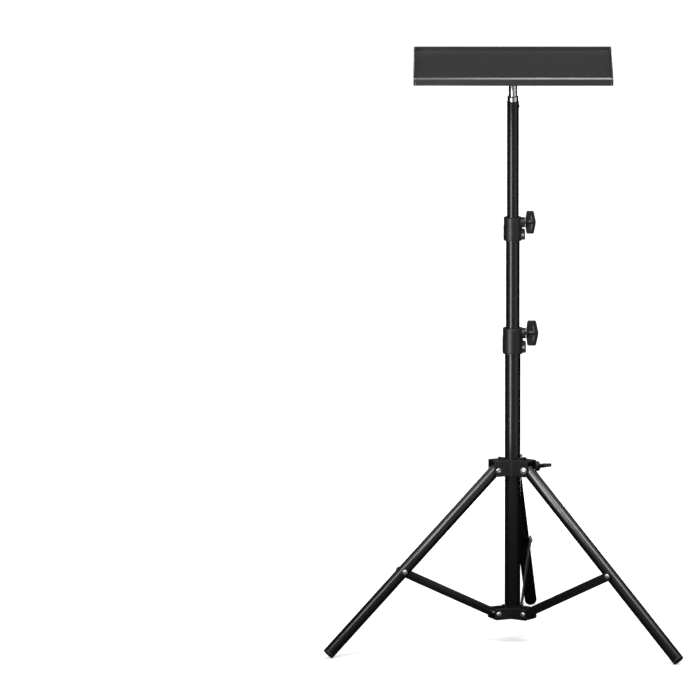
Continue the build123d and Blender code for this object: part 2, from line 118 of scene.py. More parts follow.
@dataclass(frozen=True)
class Finish:
    """A surface finish: its colour, its gloss and the fine relief that breaks up its reflections.

    Attributes:
        name: Material and how its surface was made.
        slot: Slot of the record that the finish belongs to; not used.
        colour: Mean colour.
        roughness: Mean roughness.
        spread: How far the roughness swings either way.
        grain_mm: Size of the bumps in the surface.
        relief_mm: Height of the bumps.
        drift: Share by which the colour lightens and darkens.
        drift_mm: Size of the lighter and darker patches.
        ior: Index of refraction, left at its default for a metal.
        metallic: One for bare metal, zero for a coat or a plastic.
        smear_grains: Width of the duller and glossier patches, in grains.
    """

    name: str
    slot: str
    colour: str
    roughness: float
    spread: float
    grain_mm: float
    relief_mm: float
    drift: float = 0.15
    drift_mm: float = 35.0
    ior: float = 1.5
    metallic: float = 0.0
    smear_grains: float = 9.0

    def material(self) -> bpy.types.Material:
        """Give the finish as a material, which is made on first use."""
        return bpy.data.materials.get(self.name) or self.make()

    def make(self) -> bpy.types.Material:
        """Build the material with drifting colour, uneven gloss and fine relief.

        Returns:
            The material.
        """
        material = bpy.data.materials.new(self.name)
        material.use_nodes = True
        tree = material.node_tree
        shader = tree.nodes["Principled BSDF"]
        shader.inputs["Metallic"].default_value = self.metallic
        shader.inputs["IOR"].default_value = self.ior
        place = add_node(tree, "ShaderNodeTexCoord").outputs["Object"]
        tree.links.new(self.tone(tree, place), shader.inputs["Base Color"])
        tree.links.new(self.gloss(tree, place), shader.inputs["Roughness"])
        tree.links.new(self.relief(tree, place), shader.inputs["Normal"])
        return material

    def tone(self, tree: bpy.types.NodeTree, place: bpy.types.NodeSocket) -> bpy.types.NodeSocket:
        """Colour that drifts over a few centimetres, as film thickness and handling leave it.

        Args:
            tree: Tree of the material.
            place: Object coordinates.

        Returns:
            The colour.
        """
        red, green, blue, _ = linear(self.colour)
        dark, light = 1 - self.drift, 1 + self.drift
        scale = {"Scale": 1 / (self.drift_mm * MM)}
        patches = add_node(tree, "ShaderNodeTexNoise", scale, {"Vector": place})
        ends = {
            "data_type": "RGBA",
            6: (red * dark, green * dark, blue * dark, 1.0),
            7: (red * light, green * light, blue * light, 1.0),
        }
        return add_node(tree, "ShaderNodeMix", ends, {0: patches.outputs["Fac"]}).outputs[2]

    def gloss(self, tree: bpy.types.NodeTree, place: bpy.types.NodeSocket) -> bpy.types.NodeSocket:
        """Roughness that swings about its mean, in patches several grains wide.

        Args:
            tree: Tree of the material.
            place: Object coordinates.

        Returns:
            The roughness.
        """
        patches = {"Scale": 1 / (self.grain_mm * self.smear_grains * MM), "Detail": 3.0}
        smears = add_node(tree, "ShaderNodeTexNoise", patches, {"Vector": place}).outputs["Fac"]
        swing = {"To Min": self.roughness - self.spread, "To Max": self.roughness + self.spread}
        return add_node(tree, "ShaderNodeMapRange", swing, {"Value": smears}).outputs["Result"]

    def relief(self, tree: bpy.types.NodeTree, place: bpy.types.NodeSocket) -> bpy.types.NodeSocket:
        """Even, rounded bumps.

        Args:
            tree: Tree of the material.
            place: Object coordinates.

        Returns:
            The bumped normal.
        """
        scale = {"Scale": 1 / (self.grain_mm * MM)}
        bumps = add_node(tree, "ShaderNodeTexNoise", scale, {"Vector": place}).outputs["Fac"]
        height = {"Strength": 1.0, "Distance": self.relief_mm * MM}
        return add_node(tree, "ShaderNodeBump", height, {"Height": bumps}).outputs["Normal"]


@dataclass(frozen=True)
class TurnedFinish(Finish):
    """A finish over fine rings that a lathe tool left round the Z axis.

    Attributes:
        ring_mm: Pitch of the rings.
    """

    ring_mm: float = 0.9

    def relief(self, tree: bpy.types.NodeTree, place: bpy.types.NodeSocket) -> bpy.types.NodeSocket:
        """Rings stacked along Z, at the pitch of the tool.

        Args:
            tree: Tree of the material.
            place: Object coordinates.

        Returns:
            The bumped normal.
        """
        # A wave of scale one repeats every pi / 10, so the pitch is worked out from that.
        rings = {"bands_direction": "Z", "Scale": math.pi / 10 / (self.ring_mm * MM), "Distortion": 0.4}
        marks = add_node(tree, "ShaderNodeTexWave", rings, {"Vector": place}).outputs["Fac"]
        height = {"Strength": 1.0, "Distance": self.relief_mm * MM}
        return add_node(tree, "ShaderNodeBump", height, {"Height": marks}).outputs["Normal"]


# Real grain and tool rings are too fine to show in the render, so all of them are drawn coarser here.

# Stove enamel on steel tube: deep black with a broad soft highlight and a faint orange peel.
TUBE_ENAMEL = Finish(
    "stove_enamel_on_steel_tube",
    "gloss_black_tube",
    "#0b0b0c",
    roughness=0.26,
    spread=0.03,
    grain_mm=3.0,
    relief_mm=0.0015,
)
# The same enamel on flat bar, thinner and a little duller over the rolled surface.
BAR_ENAMEL = Finish(
    "stove_enamel_on_flat_bar",
    "black_brace_steel",
    "#0c0c0d",
    roughness=0.34,
    spread=0.05,
    grain_mm=2.0,
    relief_mm=0.003,
    ior=1.45,
)
# Glass-filled nylon from a spark-eroded mould: matt black with a fine grain and a wide, weak highlight.
NYLON_MOULDING = Finish(
    "moulded_nylon_grained",
    "black_moulding",
    "#101011",
    roughness=0.4,
    spread=0.05,
    grain_mm=1.0,
    relief_mm=0.005,
    ior=1.45,
)
# ABS knob from a smoother mould: the grain is finer and the highlight tighter than on the nylon.
KNOB_MOULDING = Finish(
    "moulded_abs_fine_grain",
    "black_knob",
    "#0e0e0f",
    roughness=0.36,
    spread=0.04,
    grain_mm=0.9,
    relief_mm=0.004,
    ior=1.45,
)
# Soft PVC foot: no gloss, with the scuffs of floors.
FOOT_VINYL = Finish(
    "moulded_soft_vinyl",
    "black_foot",
    "#141414",
    roughness=0.68,
    spread=0.1,
    grain_mm=1.2,
    relief_mm=0.03,
    drift=0.3,
    drift_mm=9.0,
)
# Powder coat on sheet steel: dark grey with a satin sheen over faint pebbles.
TRAY_COAT = Finish(
    "powder_coat_on_sheet_steel",
    "powder_coat_tray",
    "#262627",
    roughness=0.34,
    spread=0.04,
    grain_mm=1.6,
    relief_mm=0.004,
    ior=1.6,
)
# Nickel plate on tumbled rivets: pale and slightly warm, with a wide gleam in place of a mirror.
RIVET_NICKEL = Finish(
    "nickel_plate_tumbled",
    "nickel_rivet",
    "#c4c2be",
    roughness=0.42,
    spread=0.05,
    grain_mm=1.2,
    relief_mm=0.003,
    drift=0.06,
    metallic=1.0,
)
# Passivated zinc plate on screws: darker and greyer than the nickel, with a patchy film.
SCREW_ZINC = Finish(
    "zinc_plate_passivated",
    "zinc_screw",
    "#767774",
    roughness=0.42,
    spread=0.06,
    grain_mm=1.0,
    relief_mm=0.003,
    drift=0.1,
    metallic=1.0,
)
# Chromium on a turned spigot: mirror bright, with the tool's rings just showing.
SPIGOT_CHROME = TurnedFinish(
    "chromium_plate_turned",
    "chrome_spigot",
    "#d9dadb",
    roughness=0.1,
    spread=0.03,
    grain_mm=0.9,
    relief_mm=0.003,
    drift=0.03,
    metallic=1.0,
)


# Mesh tools


def at(x: float, y: float, z: float) -> Vector:
    """Give a place in metres from millimetres."""
    return Vector((x, y, z)) * MM


def rounded(corners: Sequence[Corner], closed: bool = False, steps: int = 5) -> list[Point]:
    """Round the corners of an outline.

    Args:
        corners: Corners as (across, along, radius); a radius of zero stays sharp.
        closed: Whether the last corner joins the first.
        steps: Straight runs in each round.

    Returns:
        Points of the outline.
    """
    outline: list[Point] = []
    last = len(corners) - 1
    for index, (across, along, radius) in enumerate(corners):
        here = Vector((across, along))
        if radius == 0 or (not closed and index in (0, last)):
            outline.append((across, along))
            continue
        back = (Vector(corners[index - 1][:2]) - here).normalized()
        ahead = (Vector(corners[(index + 1) % (last + 1)][:2]) - here).normalized()
        half = back.angle(ahead) / 2
        centre = here + (back + ahead).normalized() * (radius / math.sin(half))
        start = here + back * (radius / math.tan(half)) - centre
        stop = here + ahead * (radius / math.tan(half)) - centre
        sweep = math.pi - 2 * half
        for step in range(steps + 1):
            turn = sweep * step / steps
            spoke = (start * math.sin(sweep - turn) + stop * math.sin(turn)) / math.sin(sweep)
            outline.append((centre.x + spoke.x, centre.y + spoke.y))
    return outline


def lathe(outline: Sequence[Point], segments: int, closed: bool = False) -> bmesh.types.BMesh:
    """Turn an outline round the Z axis.

    Args:
        outline: Points as (radius, height) in millimetres; a radius of zero lies on the axis.
        segments: Faces round the axis.
        closed: Whether the outline joins its own start, as for a tube.

    Returns:
        The turned mesh in metres.
    """
    shape = bmesh.new()
    turns = [2 * math.pi * index / segments for index in range(segments)]
    rings: list[list[bmesh.types.BMVert]] = []
    for radius, height in outline:
        reach, level = radius * MM, height * MM
        if radius == 0:
            rings.append([shape.verts.new((0.0, 0.0, level))] * segments)
        else:
            rings.append([shape.verts.new((reach * math.cos(a), reach * math.sin(a), level)) for a in turns])
    above = rings[1:] + rings[:1] if closed else rings[1:]
    for low, high in zip(rings, above):
        for index in range(segments):
            corners = dict.fromkeys((low[index - 1], low[index], high[index], high[index - 1]))
            if len(corners) > 2:
                shape.faces.new(corners)
    return shape


def stack(rings: Sequence[Sequence[Vector]]) -> bmesh.types.BMesh:
    """Skin a pile of rings and close both ends.

    Args:
        rings: Rings of points in millimetres, all of one length, from one end to the other.

    Returns:
        The closed mesh in metres.
    """
    shape = bmesh.new()
    rows = [[shape.verts.new(point * MM) for point in ring] for ring in rings]
    for low, high in zip(rows, rows[1:]):
        for index in range(len(low)):
            shape.faces.new((low[index - 1], low[index], high[index], high[index - 1]))
    shape.faces.new(rows[0])
    shape.faces.new(rows[-1])
    return shape


def smooth(mesh: bpy.types.Mesh, crease: float = 32.0) -> None:
    """Shade a mesh smooth but for its sharp edges.

    Args:
        mesh: Mesh to shade.
        crease: Angle in degrees from which an edge stays sharp.
    """
    mesh.shade_smooth()
    mesh.set_sharp_from_angle(angle=math.radians(crease))


def solid(name: str, shape: bmesh.types.BMesh, place: Matrix | None = None) -> bpy.types.Object:
    """Make an object of the scene from a drawn mesh.

    Args:
        name: Name of the piece.
        shape: Mesh in metres, which is used up.
        place: Where the mesh goes in the frame.

    Returns:
        The object, unturned at the origin.
    """
    bmesh.ops.remove_doubles(shape, verts=shape.verts, dist=WELD)
    bmesh.ops.recalc_face_normals(shape, faces=shape.faces)
    shape.transform(place or Matrix())
    mesh = bpy.data.meshes.new(name)
    shape.to_mesh(mesh)
    shape.free()
    smooth(mesh)
    piece = bpy.data.objects.new(name, mesh)
    bpy.context.scene.collection.objects.link(piece)
    return piece


def fit(piece: bpy.types.Object, body: str, finish: Finish, *nodes: str) -> None:
    """Dress a piece and tie it to its body.

    Args:
        piece: Object to dress.
        body: Body that the piece moves with.
        finish: Finish of the piece.
        nodes: CAD nodes that the piece stands for.
    """
    piece.data.materials.clear()
    piece.data.materials.append(finish.material())
    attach(piece, body)
    if nodes:
        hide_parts(*nodes)
    log.info("%s on %s in %s", piece.name, body, finish.name)


def carry(finish: Finish, *nodes: str) -> None:
    """Keep CAD nodes as they are and dress them.

    Args:
        finish: Finish of the nodes.
        nodes: Names of the nodes.
    """
    for node in nodes:
        materials = frame["nodes"][node].data.materials
        materials.clear()
        materials.append(finish.material())
        log.info("%s kept in %s", node, finish.name)


def joint(name: str) -> tuple[Vector, Vector]:
    """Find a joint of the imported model.

    Args:
        name: Name of the joint.

    Returns:
        Its place and its axis.
    """
    found = next(one for one in frame["joints"] if one["name"] == name)
    return Vector(found["pos_m"]), Vector(found["axis"])


# Shapes that follow a rule


class ShapeTree:
    """A Geometry Nodes tree with named inputs, whose result is kept as a plain mesh."""

    def __init__(self, name: str, sizes: Sequence[str]) -> None:
        """Open the tree.

        Args:
            name: Name of the tree.
            sizes: Names of its sizes, in metres.
        """
        self.tree = bpy.data.node_groups.new(name, "GeometryNodeTree")
        sockets = self.tree.interface
        sockets.new_socket("Marks", in_out="INPUT", socket_type="NodeSocketGeometry")
        for size in sizes:
            sockets.new_socket(size, in_out="INPUT", socket_type="NodeSocketFloat")
        sockets.new_socket("Finish", in_out="INPUT", socket_type="NodeSocketMaterial")
        sockets.new_socket("Mesh", in_out="OUTPUT", socket_type="NodeSocketGeometry")
        self.given = add_node(self.tree, "NodeGroupInput").outputs

    def end(self, shape: bpy.types.NodeSocket) -> None:
        """Close the tree: the shape on every mark, pointing its way, as plain geometry in its finish.

        Args:
            shape: Geometry to set on the marks.
        """
        tree, given = self.tree, self.given
        aim = {"data_type": "FLOAT_VECTOR", "Name": "aim"}
        way = add_node(tree, "GeometryNodeInputNamedAttribute", aim).outputs["Attribute"]
        turn = add_node(tree, "FunctionNodeAlignRotationToVector", {"axis": "Z"}, {"Vector": way})
        links = {"Points": given["Marks"], "Instance": shape, "Rotation": turn.outputs[0]}
        placed = add_node(tree, "GeometryNodeInstanceOnPoints", links=links)
        plain = add_node(tree, "GeometryNodeRealizeInstances", links={"Geometry": placed.outputs[0]})
        links = {"Geometry": plain.outputs[0], "Material": given["Finish"]}
        dressed = add_node(tree, "GeometryNodeSetMaterial", links=links)
        add_node(tree, "NodeGroupOutput", links={"Mesh": dressed.outputs[0]})

    def cast(
        self, name: str, marks: Sequence[Mark], sizes: dict[str, float], finish: Finish
    ) -> bpy.types.Object:
        """Run the tree once.

        Args:
            name: Name of the piece.
            marks: Places in metres with the way that the shape points at each.
            sizes: Sizes in millimetres by the names of the tree's inputs.
            finish: Finish that the tree sets.

        Returns:
            An object with a plain mesh.
        """
        start = bpy.data.meshes.new(name + "_marks")
        start.from_pydata([spot for spot, _ in marks], [], [])
        aim = start.attributes.new("aim", "FLOAT_VECTOR", "POINT")
        for index, (_, way) in enumerate(marks):
            aim.data[index].vector = way
        piece = bpy.data.objects.new(name, start)
        bpy.context.scene.collection.objects.link(piece)
        run = piece.modifiers.new("shape", "NODES")
        run.node_group = self.tree
        sockets = [one for one in self.tree.interface.items_tree if one.in_out == "INPUT"]
        inputs = {one.name: one.identifier for one in sockets}
        for size, value in sizes.items():
            run[inputs[size]] = value * MM
        run[inputs["Finish"]] = finish.material()
        result = piece.evaluated_get(bpy.context.evaluated_depsgraph_get())
        plain = bpy.data.meshes.new_from_object(result)
        piece.modifiers.remove(run)
        piece.data = plain
        plain.name = name
        smooth(plain)
        return piece


class RolledTube(ShapeTree):
    """Round tube with eased rims, centred on each mark and pointing its way."""

    SEGMENTS = 96
    RIM_STEPS = 3

    def __init__(self) -> None:
        """Sweep a filleted wall section round a circle."""
        super().__init__("rolled_tube", ("Radius", "Wall", "Length", "Rim"))
        tree, given = self.tree, self.given
        half_wall = add_node(tree, "ShaderNodeMath", {"operation": "MULTIPLY", 1: 0.5}, {0: given["Wall"]})
        links = {0: given["Radius"], 1: half_wall.outputs[0]}
        middle = add_node(tree, "ShaderNodeMath", {"operation": "SUBTRACT"}, links)
        links = {"Radius": middle.outputs[0]}
        path = add_node(tree, "GeometryNodeCurvePrimitiveCircle", {"Resolution": self.SEGMENTS}, links)
        links = {"Width": given["Wall"], "Height": given["Length"]}
        section = add_node(tree, "GeometryNodeCurvePrimitiveQuadrilateral", links=links)
        links = {"Curve": section.outputs[0], "Radius": given["Rim"]}
        eased = add_node(tree, "GeometryNodeFilletCurve", {"mode": "POLY", "Count": self.RIM_STEPS}, links)
        links = {"Curve": path.outputs[0], "Profile Curve": eased.outputs[0]}
        self.end(add_node(tree, "GeometryNodeCurveToMesh", links=links).outputs[0])


class HeadedFastener(ShapeTree):
    """Rivet or screw: a domed head, with or without a recess, on a short shank."""

    HEAD_SEGMENTS = 40
    HEAD_RINGS = 36
    SHANK_SIDES = 32

    def __init__(self) -> None:
        """Press a ball to a dome with a dished middle and set it on a shank."""
        head = ("Head radius", "Head height", "Recess radius", "Recess depth")
        super().__init__("headed_fastener", head + ("Shank radius", "Shank length"))
        whole = add_node(self.tree, "GeometryNodeJoinGeometry", links={"Geometry": self.shank()})
        self.tree.links.new(self.head(), whole.inputs["Geometry"])
        self.end(whole.outputs[0])

    def head(self) -> bpy.types.NodeSocket:
        """Draw the dome, which stands on the XY plane.

        Returns:
            Its geometry.
        """
        tree, given = self.tree, self.given
        ball_sizes = {"Segments": self.HEAD_SEGMENTS, "Rings": self.HEAD_RINGS, "Radius": 1.0}
        ball = add_node(tree, "GeometryNodeMeshUVSphere", ball_sizes)
        spot = add_node(tree, "GeometryNodeInputPosition").outputs[0]
        lowest = {"operation": "MAXIMUM", 1: (-1.0, -1.0, 0.0)}
        halved = add_node(tree, "ShaderNodeVectorMath", lowest, {0: spot})
        links = {"X": given["Head radius"], "Y": given["Head radius"], "Z": given["Head height"]}
        spans = add_node(tree, "ShaderNodeCombineXYZ", links=links)
        links = {0: halved.outputs[0], 1: spans.outputs[0]}
        dome = add_node(tree, "ShaderNodeVectorMath", {"operation": "MULTIPLY"}, links).outputs[0]
        flat = {"operation": "MULTIPLY", 1: (1.0, 1.0, 0.0)}
        level = add_node(tree, "ShaderNodeVectorMath", flat, {0: dome}).outputs[0]
        reach = add_node(tree, "ShaderNodeVectorMath", {"operation": "LENGTH"}, {0: level}).outputs["Value"]
        links = {"Value": reach, "From Max": given["Recess radius"], "To Min": given["Recess depth"]}
        fade = {"interpolation_type": "SMOOTHSTEP", "To Max": 0.0}
        dish = add_node(tree, "ShaderNodeMapRange", fade, links).outputs["Result"]
        sink = add_node(tree, "ShaderNodeCombineXYZ", links={"Z": dish})
        links = {0: dome, 1: sink.outputs[0]}
        pressed = add_node(tree, "ShaderNodeVectorMath", {"operation": "SUBTRACT"}, links)
        links = {"Geometry": ball.outputs["Mesh"], "Position": pressed.outputs[0]}
        return add_node(tree, "GeometryNodeSetPosition", links=links).outputs[0]

    def shank(self) -> bpy.types.NodeSocket:
        """Draw the shank, which hangs below the XY plane.

        Returns:
            Its geometry.
        """
        tree, given = self.tree, self.given
        links = {"Radius": given["Shank radius"], "Depth": given["Shank length"]}
        bar = add_node(tree, "GeometryNodeMeshCylinder", {"Vertices": self.SHANK_SIDES}, links)
        run = add_node(tree, "ShaderNodeCombineXYZ", links={"Z": given["Shank length"]}).outputs[0]
        drop = add_node(tree, "ShaderNodeVectorMath", {"operation": "SCALE", "Scale": -0.5}, {0: run})
        links = {"Geometry": bar.outputs["Mesh"], "Translation": drop.outputs[0]}
        return add_node(tree, "GeometryNodeTransform", links=links).outputs[0]


@dataclass(frozen=True)
class TubeCut:
    """A length of tube, in millimetres.

    Attributes:
        radius: Outer radius.
        wall: Thickness of its wall.
        length: Length.
        rim: Rounding of its ends.
    """

    radius: float
    wall: float
    length: float
    rim: float

    def sizes(self) -> dict[str, float]:
        """Give the sizes by the names of the tree's inputs."""
        return {"Radius": self.radius, "Wall": self.wall, "Length": self.length, "Rim": self.rim}


@dataclass(frozen=True)
class Head:
    """A rivet or screw, in millimetres.

    Attributes:
        radius: Radius of the head.
        height: Height of the head.
        shank: Radius of the shank.
        length: Length of the shank.
        recess: Radius of the dished middle, or zero.
        depth: Depth of the dished middle.
    """

    radius: float
    height: float
    shank: float
    length: float
    recess: float = 0.0
    depth: float = 0.0

    def sizes(self) -> dict[str, float]:
        """Give the sizes by the names of the tree's inputs."""
        return {
            "Head radius": self.radius,
            "Head height": self.height,
            "Recess radius": self.recess,
            "Recess depth": self.depth,
            "Shank radius": self.shank,
            "Shank length": self.length,
        }


# Sub-assemblies


@dataclass(frozen=True)
class MastTube:
    """One tube of the mast, in millimetres.

    Attributes:
        node: CAD node that it stands for.
        body: Body that it belongs to.
        radius: Outer radius.
        bottom: Height of its lower end.
        top: Height of its upper end.
    """

    node: str
    body: str
    radius: float
    bottom: float
    top: float


@dataclass(frozen=True)
class Mast:
    """Three tubes that slide in one another, the lower end's plug and the small rivet at the top.

    Attributes:
        tubes: Tree for tubes.
        fasteners: Tree for rivets.
        lower: Tube that stands in the spider.
        middle: Tube that slides in the lower one.
        upper: Tube that slides in the middle one and carries the tray.
        wall: Wall of every tube.
        rim: Rounding of the tubes' ends.
        plug_length: How far the plug goes into the lower tube.
        flange: Height of the plug's flange below the tube.
        tread: Width of the ring round the plug's dished underside.
        dish: Depth of the dish.
        rivet: Rivet on the right of the upper tube.
        rivet_drop: How far below the tube's top the rivet sits.
        rivet_sunk: How far its head sinks into the round of the tube.
    """

    tubes: RolledTube
    fasteners: HeadedFastener
    lower: MastTube = MastTube("lower_tube", "column", radius=12.5, bottom=44.0, top=494.5)
    middle: MastTube = MastTube("middle_tube", "middle", radius=11.0, bottom=233.0, top=673.0)
    upper: MastTube = MastTube("upper_tube", "upper", radius=9.5, bottom=443.4, top=873.4)
    wall: float = 1.0
    rim: float = 0.35
    plug_length: float = 14.0
    flange: float = 3.0
    tread: float = 3.2
    dish: float = 0.8
    rivet: Head = Head(3.0, 1.4, 2.2, 1.6, recess=1.3, depth=0.5)
    rivet_drop: float = 8.4
    rivet_sunk: float = 0.35

    def build(self) -> None:
        """Make and dress every piece of the mast."""
        for tube in (self.lower, self.middle, self.upper):
            cut = TubeCut(tube.radius, self.wall, tube.top - tube.bottom, self.rim)
            middle = at(0.0, 0.0, (tube.top + tube.bottom) / 2)
            piece = self.tubes.cast(tube.node + "_drawn", [(middle, UP)], cut.sizes(), TUBE_ENAMEL)
            fit(piece, tube.body, TUBE_ENAMEL, tube.node)
        self.end_plug()
        self.top_rivet()

    def plug_radius(self, tube: MastTube) -> float:
        """Find the radius of what plugs the end of a tube."""
        return tube.radius - self.wall - SLIP

    def end_plug(self) -> None:
        """Plug in the lower end, with a dished underside."""
        radius, end = self.lower.radius, self.lower.bottom
        bore = self.plug_radius(self.lower)
        low = end - self.flange
        outline = rounded(
            [
                (0.0, low + self.dish, 0.0),
                (radius - self.tread - self.dish, low + self.dish, 0.6),
                (radius - self.tread, low, 0.3),
                (radius, low, 0.7),
                (radius, end, 0.2),
                (bore, end, 0.0),
                (bore, end + self.plug_length, 1.0),
                (0.0, end + self.plug_length, 0.0),
            ]
        )
        fit(solid("mast_end_plug", lathe(outline, segments=72)), "column", FOOT_VINYL, "tube_end_cap")

    def top_rivet(self) -> None:
        """Pulled rivet on the right of the upper tube."""
        spot = at(self.upper.radius - self.rivet_sunk, 0.0, self.upper.top - self.rivet_drop)
        rivet = self.fasteners.cast("mast_top_rivet", [(spot, RIGHT)], self.rivet.sizes(), RIVET_NICKEL)
        fit(rivet, "upper", RIVET_NICKEL, "tube_rivet")


@dataclass(frozen=True)
class WingKnob:
    """Moulded wing: a plate with a pointed, bevelled outer edge, finger pads, a rib and a flared neck.

    It is drawn along the X axis, with distances from the mast axis, and then set on its joint.

    Attributes:
        node: CAD node that the wing stands for.
        body: Body that the knob is.
        turn: Joint that it turns on.
        neck_start: Where the neck starts.
        wing_start: Where the wing starts.
        half: Half the height of the wing.
        reach: Width of the wing at its point.
        roll: Turn about its own axis in degrees, as it stands when tight.
        root: Half the height of the straight stretch of the inner edge.
        slant: How far the inner edge leans out above and below that stretch.
        end_share: Width of the wing at its ends, as a share of its width at the point.
        point: Rounding of the point.
        corner: Rounding of the wing's four corners.
        thickness: Thickness of the plate.
        edge: Rounding of the plate's edges.
        rim: Thickness of the outer edge.
        bevel_start: Where the bevel to the outer edge starts, as a share of the width.
        rib: Radius of the rib along the axis.
        flare: Radius of the rib where it meets the neck.
        flare_run: Length over which the rib narrows from there.
        neck_radius: Radius of the neck.
        bore: Radius of the hole for the screw.
        pad_depth: Depth of the scooped finger pads.
        pad_at: Middle of a pad, as shares of the wing's width and half height.
        pad_span: Half the width and height of a pad, as the same shares.
        rows: Steps over the height of the wing.
        columns: Steps over its width.
    """

    node: str
    body: str
    turn: str
    neck_start: float
    wing_start: float
    half: float
    reach: float
    roll: float = 0.0
    root: float = 9.0
    slant: float = 1.4
    end_share: float = 0.77
    point: float = 2.5
    corner: float = 2.0
    thickness: float = 6.0
    edge: float = 1.2
    rim: float = 5.2
    bevel_start: float = 0.64
    rib: float = 3.5
    flare: float = 7.0
    flare_run: float = 5.5
    neck_radius: float = 8.0
    bore: float = 3.05
    pad_depth: float = 0.9
    pad_at: Point = (0.34, 0.32)
    pad_span: Point = (0.36, 0.5)
    rows: int = 88
    columns: int = 30

    def build(self) -> None:
        """Make and dress the wing and its neck."""
        place = self.place()
        wing = solid(self.node + "_wing", self.wing(), place)
        fit(wing, self.body, KNOB_MOULDING, self.node)
        neck = solid(self.node + "_neck", self.neck(), place @ Matrix.Rotation(math.pi / 2, 4, "Y"))
        fit(neck, self.body, KNOB_MOULDING)

    def place(self) -> Matrix:
        """Find where the knob goes: on the axis of its joint, rolled as it stands when tight.

        Returns:
            Its place in the frame.
        """
        spot, axis = joint(self.turn)
        base = Matrix((axis, UP.cross(axis), UP)).transposed().to_4x4()
        level = Matrix.Translation((0.0, 0.0, spot.z))
        return level @ base @ Matrix.Rotation(math.radians(self.roll), 4, "X")

    def sides(self, height: float) -> Point:
        """Find the inner and the outer edge of the wing.

        Args:
            height: Height from the knob's axis.

        Returns:
            Distances of both edges from the mast axis.
        """
        slant = self.slant * max(0.0, abs(height) - self.root) / (self.half - self.root)
        share = min(1.0, math.hypot(height, self.point) / self.half)
        into = max(0.0, abs(height) - (self.half - self.corner))
        corner = self.corner - math.sqrt(max(0.0, self.corner**2 - into**2))
        inner = self.wing_start + slant + corner
        return inner, self.wing_start + self.reach * (1 - (1 - self.end_share) * share) - corner

    def half_thickness(self, share: float, height: float, edge: float) -> float:
        """Find half the thickness at a point of the wing.

        Args:
            share: Share of the way from the inner to the outer edge.
            height: Height from the knob's axis.
            edge: Distance to the nearest edge of the outline, the outer one left out.

        Returns:
            Half the thickness in millimetres.
        """
        into = 1 - min(edge, self.edge) / self.edge
        plate = self.thickness / 2 - self.edge * (1 - math.sqrt(max(0.0, 1 - into**2)))
        pad_share = (share - self.pad_at[0]) / self.pad_span[0]
        pad_height = (abs(height) - self.half * self.pad_at[1]) / (self.half * self.pad_span[1])
        plate -= self.pad_depth * max(0.0, 1 - pad_height**2) * max(0.0, 1 - pad_share**4)
        flared = self.flare - (self.flare - self.thickness / 2) * share * self.reach / self.flare_run
        rib = math.sqrt(max(0.0, max(self.rib, flared) ** 2 - height**2))
        bevel = max(0.0, share - self.bevel_start) / (1 - self.bevel_start)
        return max(plate, rib) * (1 - bevel) + self.rim / 2 * bevel

    def wing(self) -> bmesh.types.BMesh:
        """Draw the wing as two sheets that meet at a border.

        Returns:
            The closed mesh.
        """
        shape = bmesh.new()
        sheets: dict[int, list[list[bmesh.types.BMVert]]] = {-1: [], 1: []}
        for row in range(self.rows + 1):
            height = -self.half * math.cos(math.pi * row / self.rows)
            low, high = self.sides(height)
            for side, sheet in sheets.items():
                line = []
                for column in range(self.columns + 1):
                    share = (1 - math.cos(math.pi * column / self.columns)) / 2
                    edge = min((high - low) * share, self.half - abs(height))
                    depth = side * self.half_thickness(share, height, edge)
                    line.append(shape.verts.new(at(low + (high - low) * share, depth, height)))
                sheet.append(line)
        for sheet in sheets.values():
            for below, above in zip(sheet, sheet[1:]):
                for left in range(self.columns):
                    shape.faces.new((below[left], below[left + 1], above[left + 1], above[left]))
        near, far = (self.border(sheets[side]) for side in (-1, 1))
        for index in range(len(near)):
            shape.faces.new((near[index - 1], near[index], far[index], far[index - 1]))
        return shape

    @staticmethod
    def border(sheet: list[list[bmesh.types.BMVert]]) -> list[bmesh.types.BMVert]:
        """Walk round the edge of a sheet.

        Args:
            sheet: Rows of points.

        Returns:
            The points of the edge in order.
        """
        right = [line[-1] for line in sheet[1:-1]]
        left = [line[0] for line in sheet[1:-1]]
        return sheet[0] + right + sheet[-1][::-1] + left[::-1]

    def neck(self) -> bmesh.types.BMesh:
        """Draw the neck round the Z axis, with eased rims.

        Returns:
            The closed mesh.
        """
        end = self.wing_start + self.slant
        corners = [
            (self.bore, self.neck_start, 0.3),
            (self.neck_radius, self.neck_start, 0.6),
            (self.neck_radius, end, 1.0),
            (self.bore, end, 0.0),
        ]
        return lathe(rounded(corners, closed=True), segments=56, closed=True)


LOWER_KNOB = WingKnob(
    "lower_clamp_knob",
    "lower_knob",
    "lower_knob_turn",
    neck_start=21.3,
    wing_start=21.7,
    half=20.1,
    reach=19.6,
)
UPPER_KNOB = WingKnob(
    "upper_clamp_knob",
    "upper_knob",
    "upper_knob_turn",
    neck_start=19.8,
    wing_start=20.2,
    half=18.2,
    reach=16.8,
)
HUB_KNOB = WingKnob(
    "hub_knob",
    "hub_lock",
    "hub_knob_turn",
    neck_start=30.4,
    wing_start=44.0,
    half=19.5,
    reach=20.4,
    roll=78.5,
)


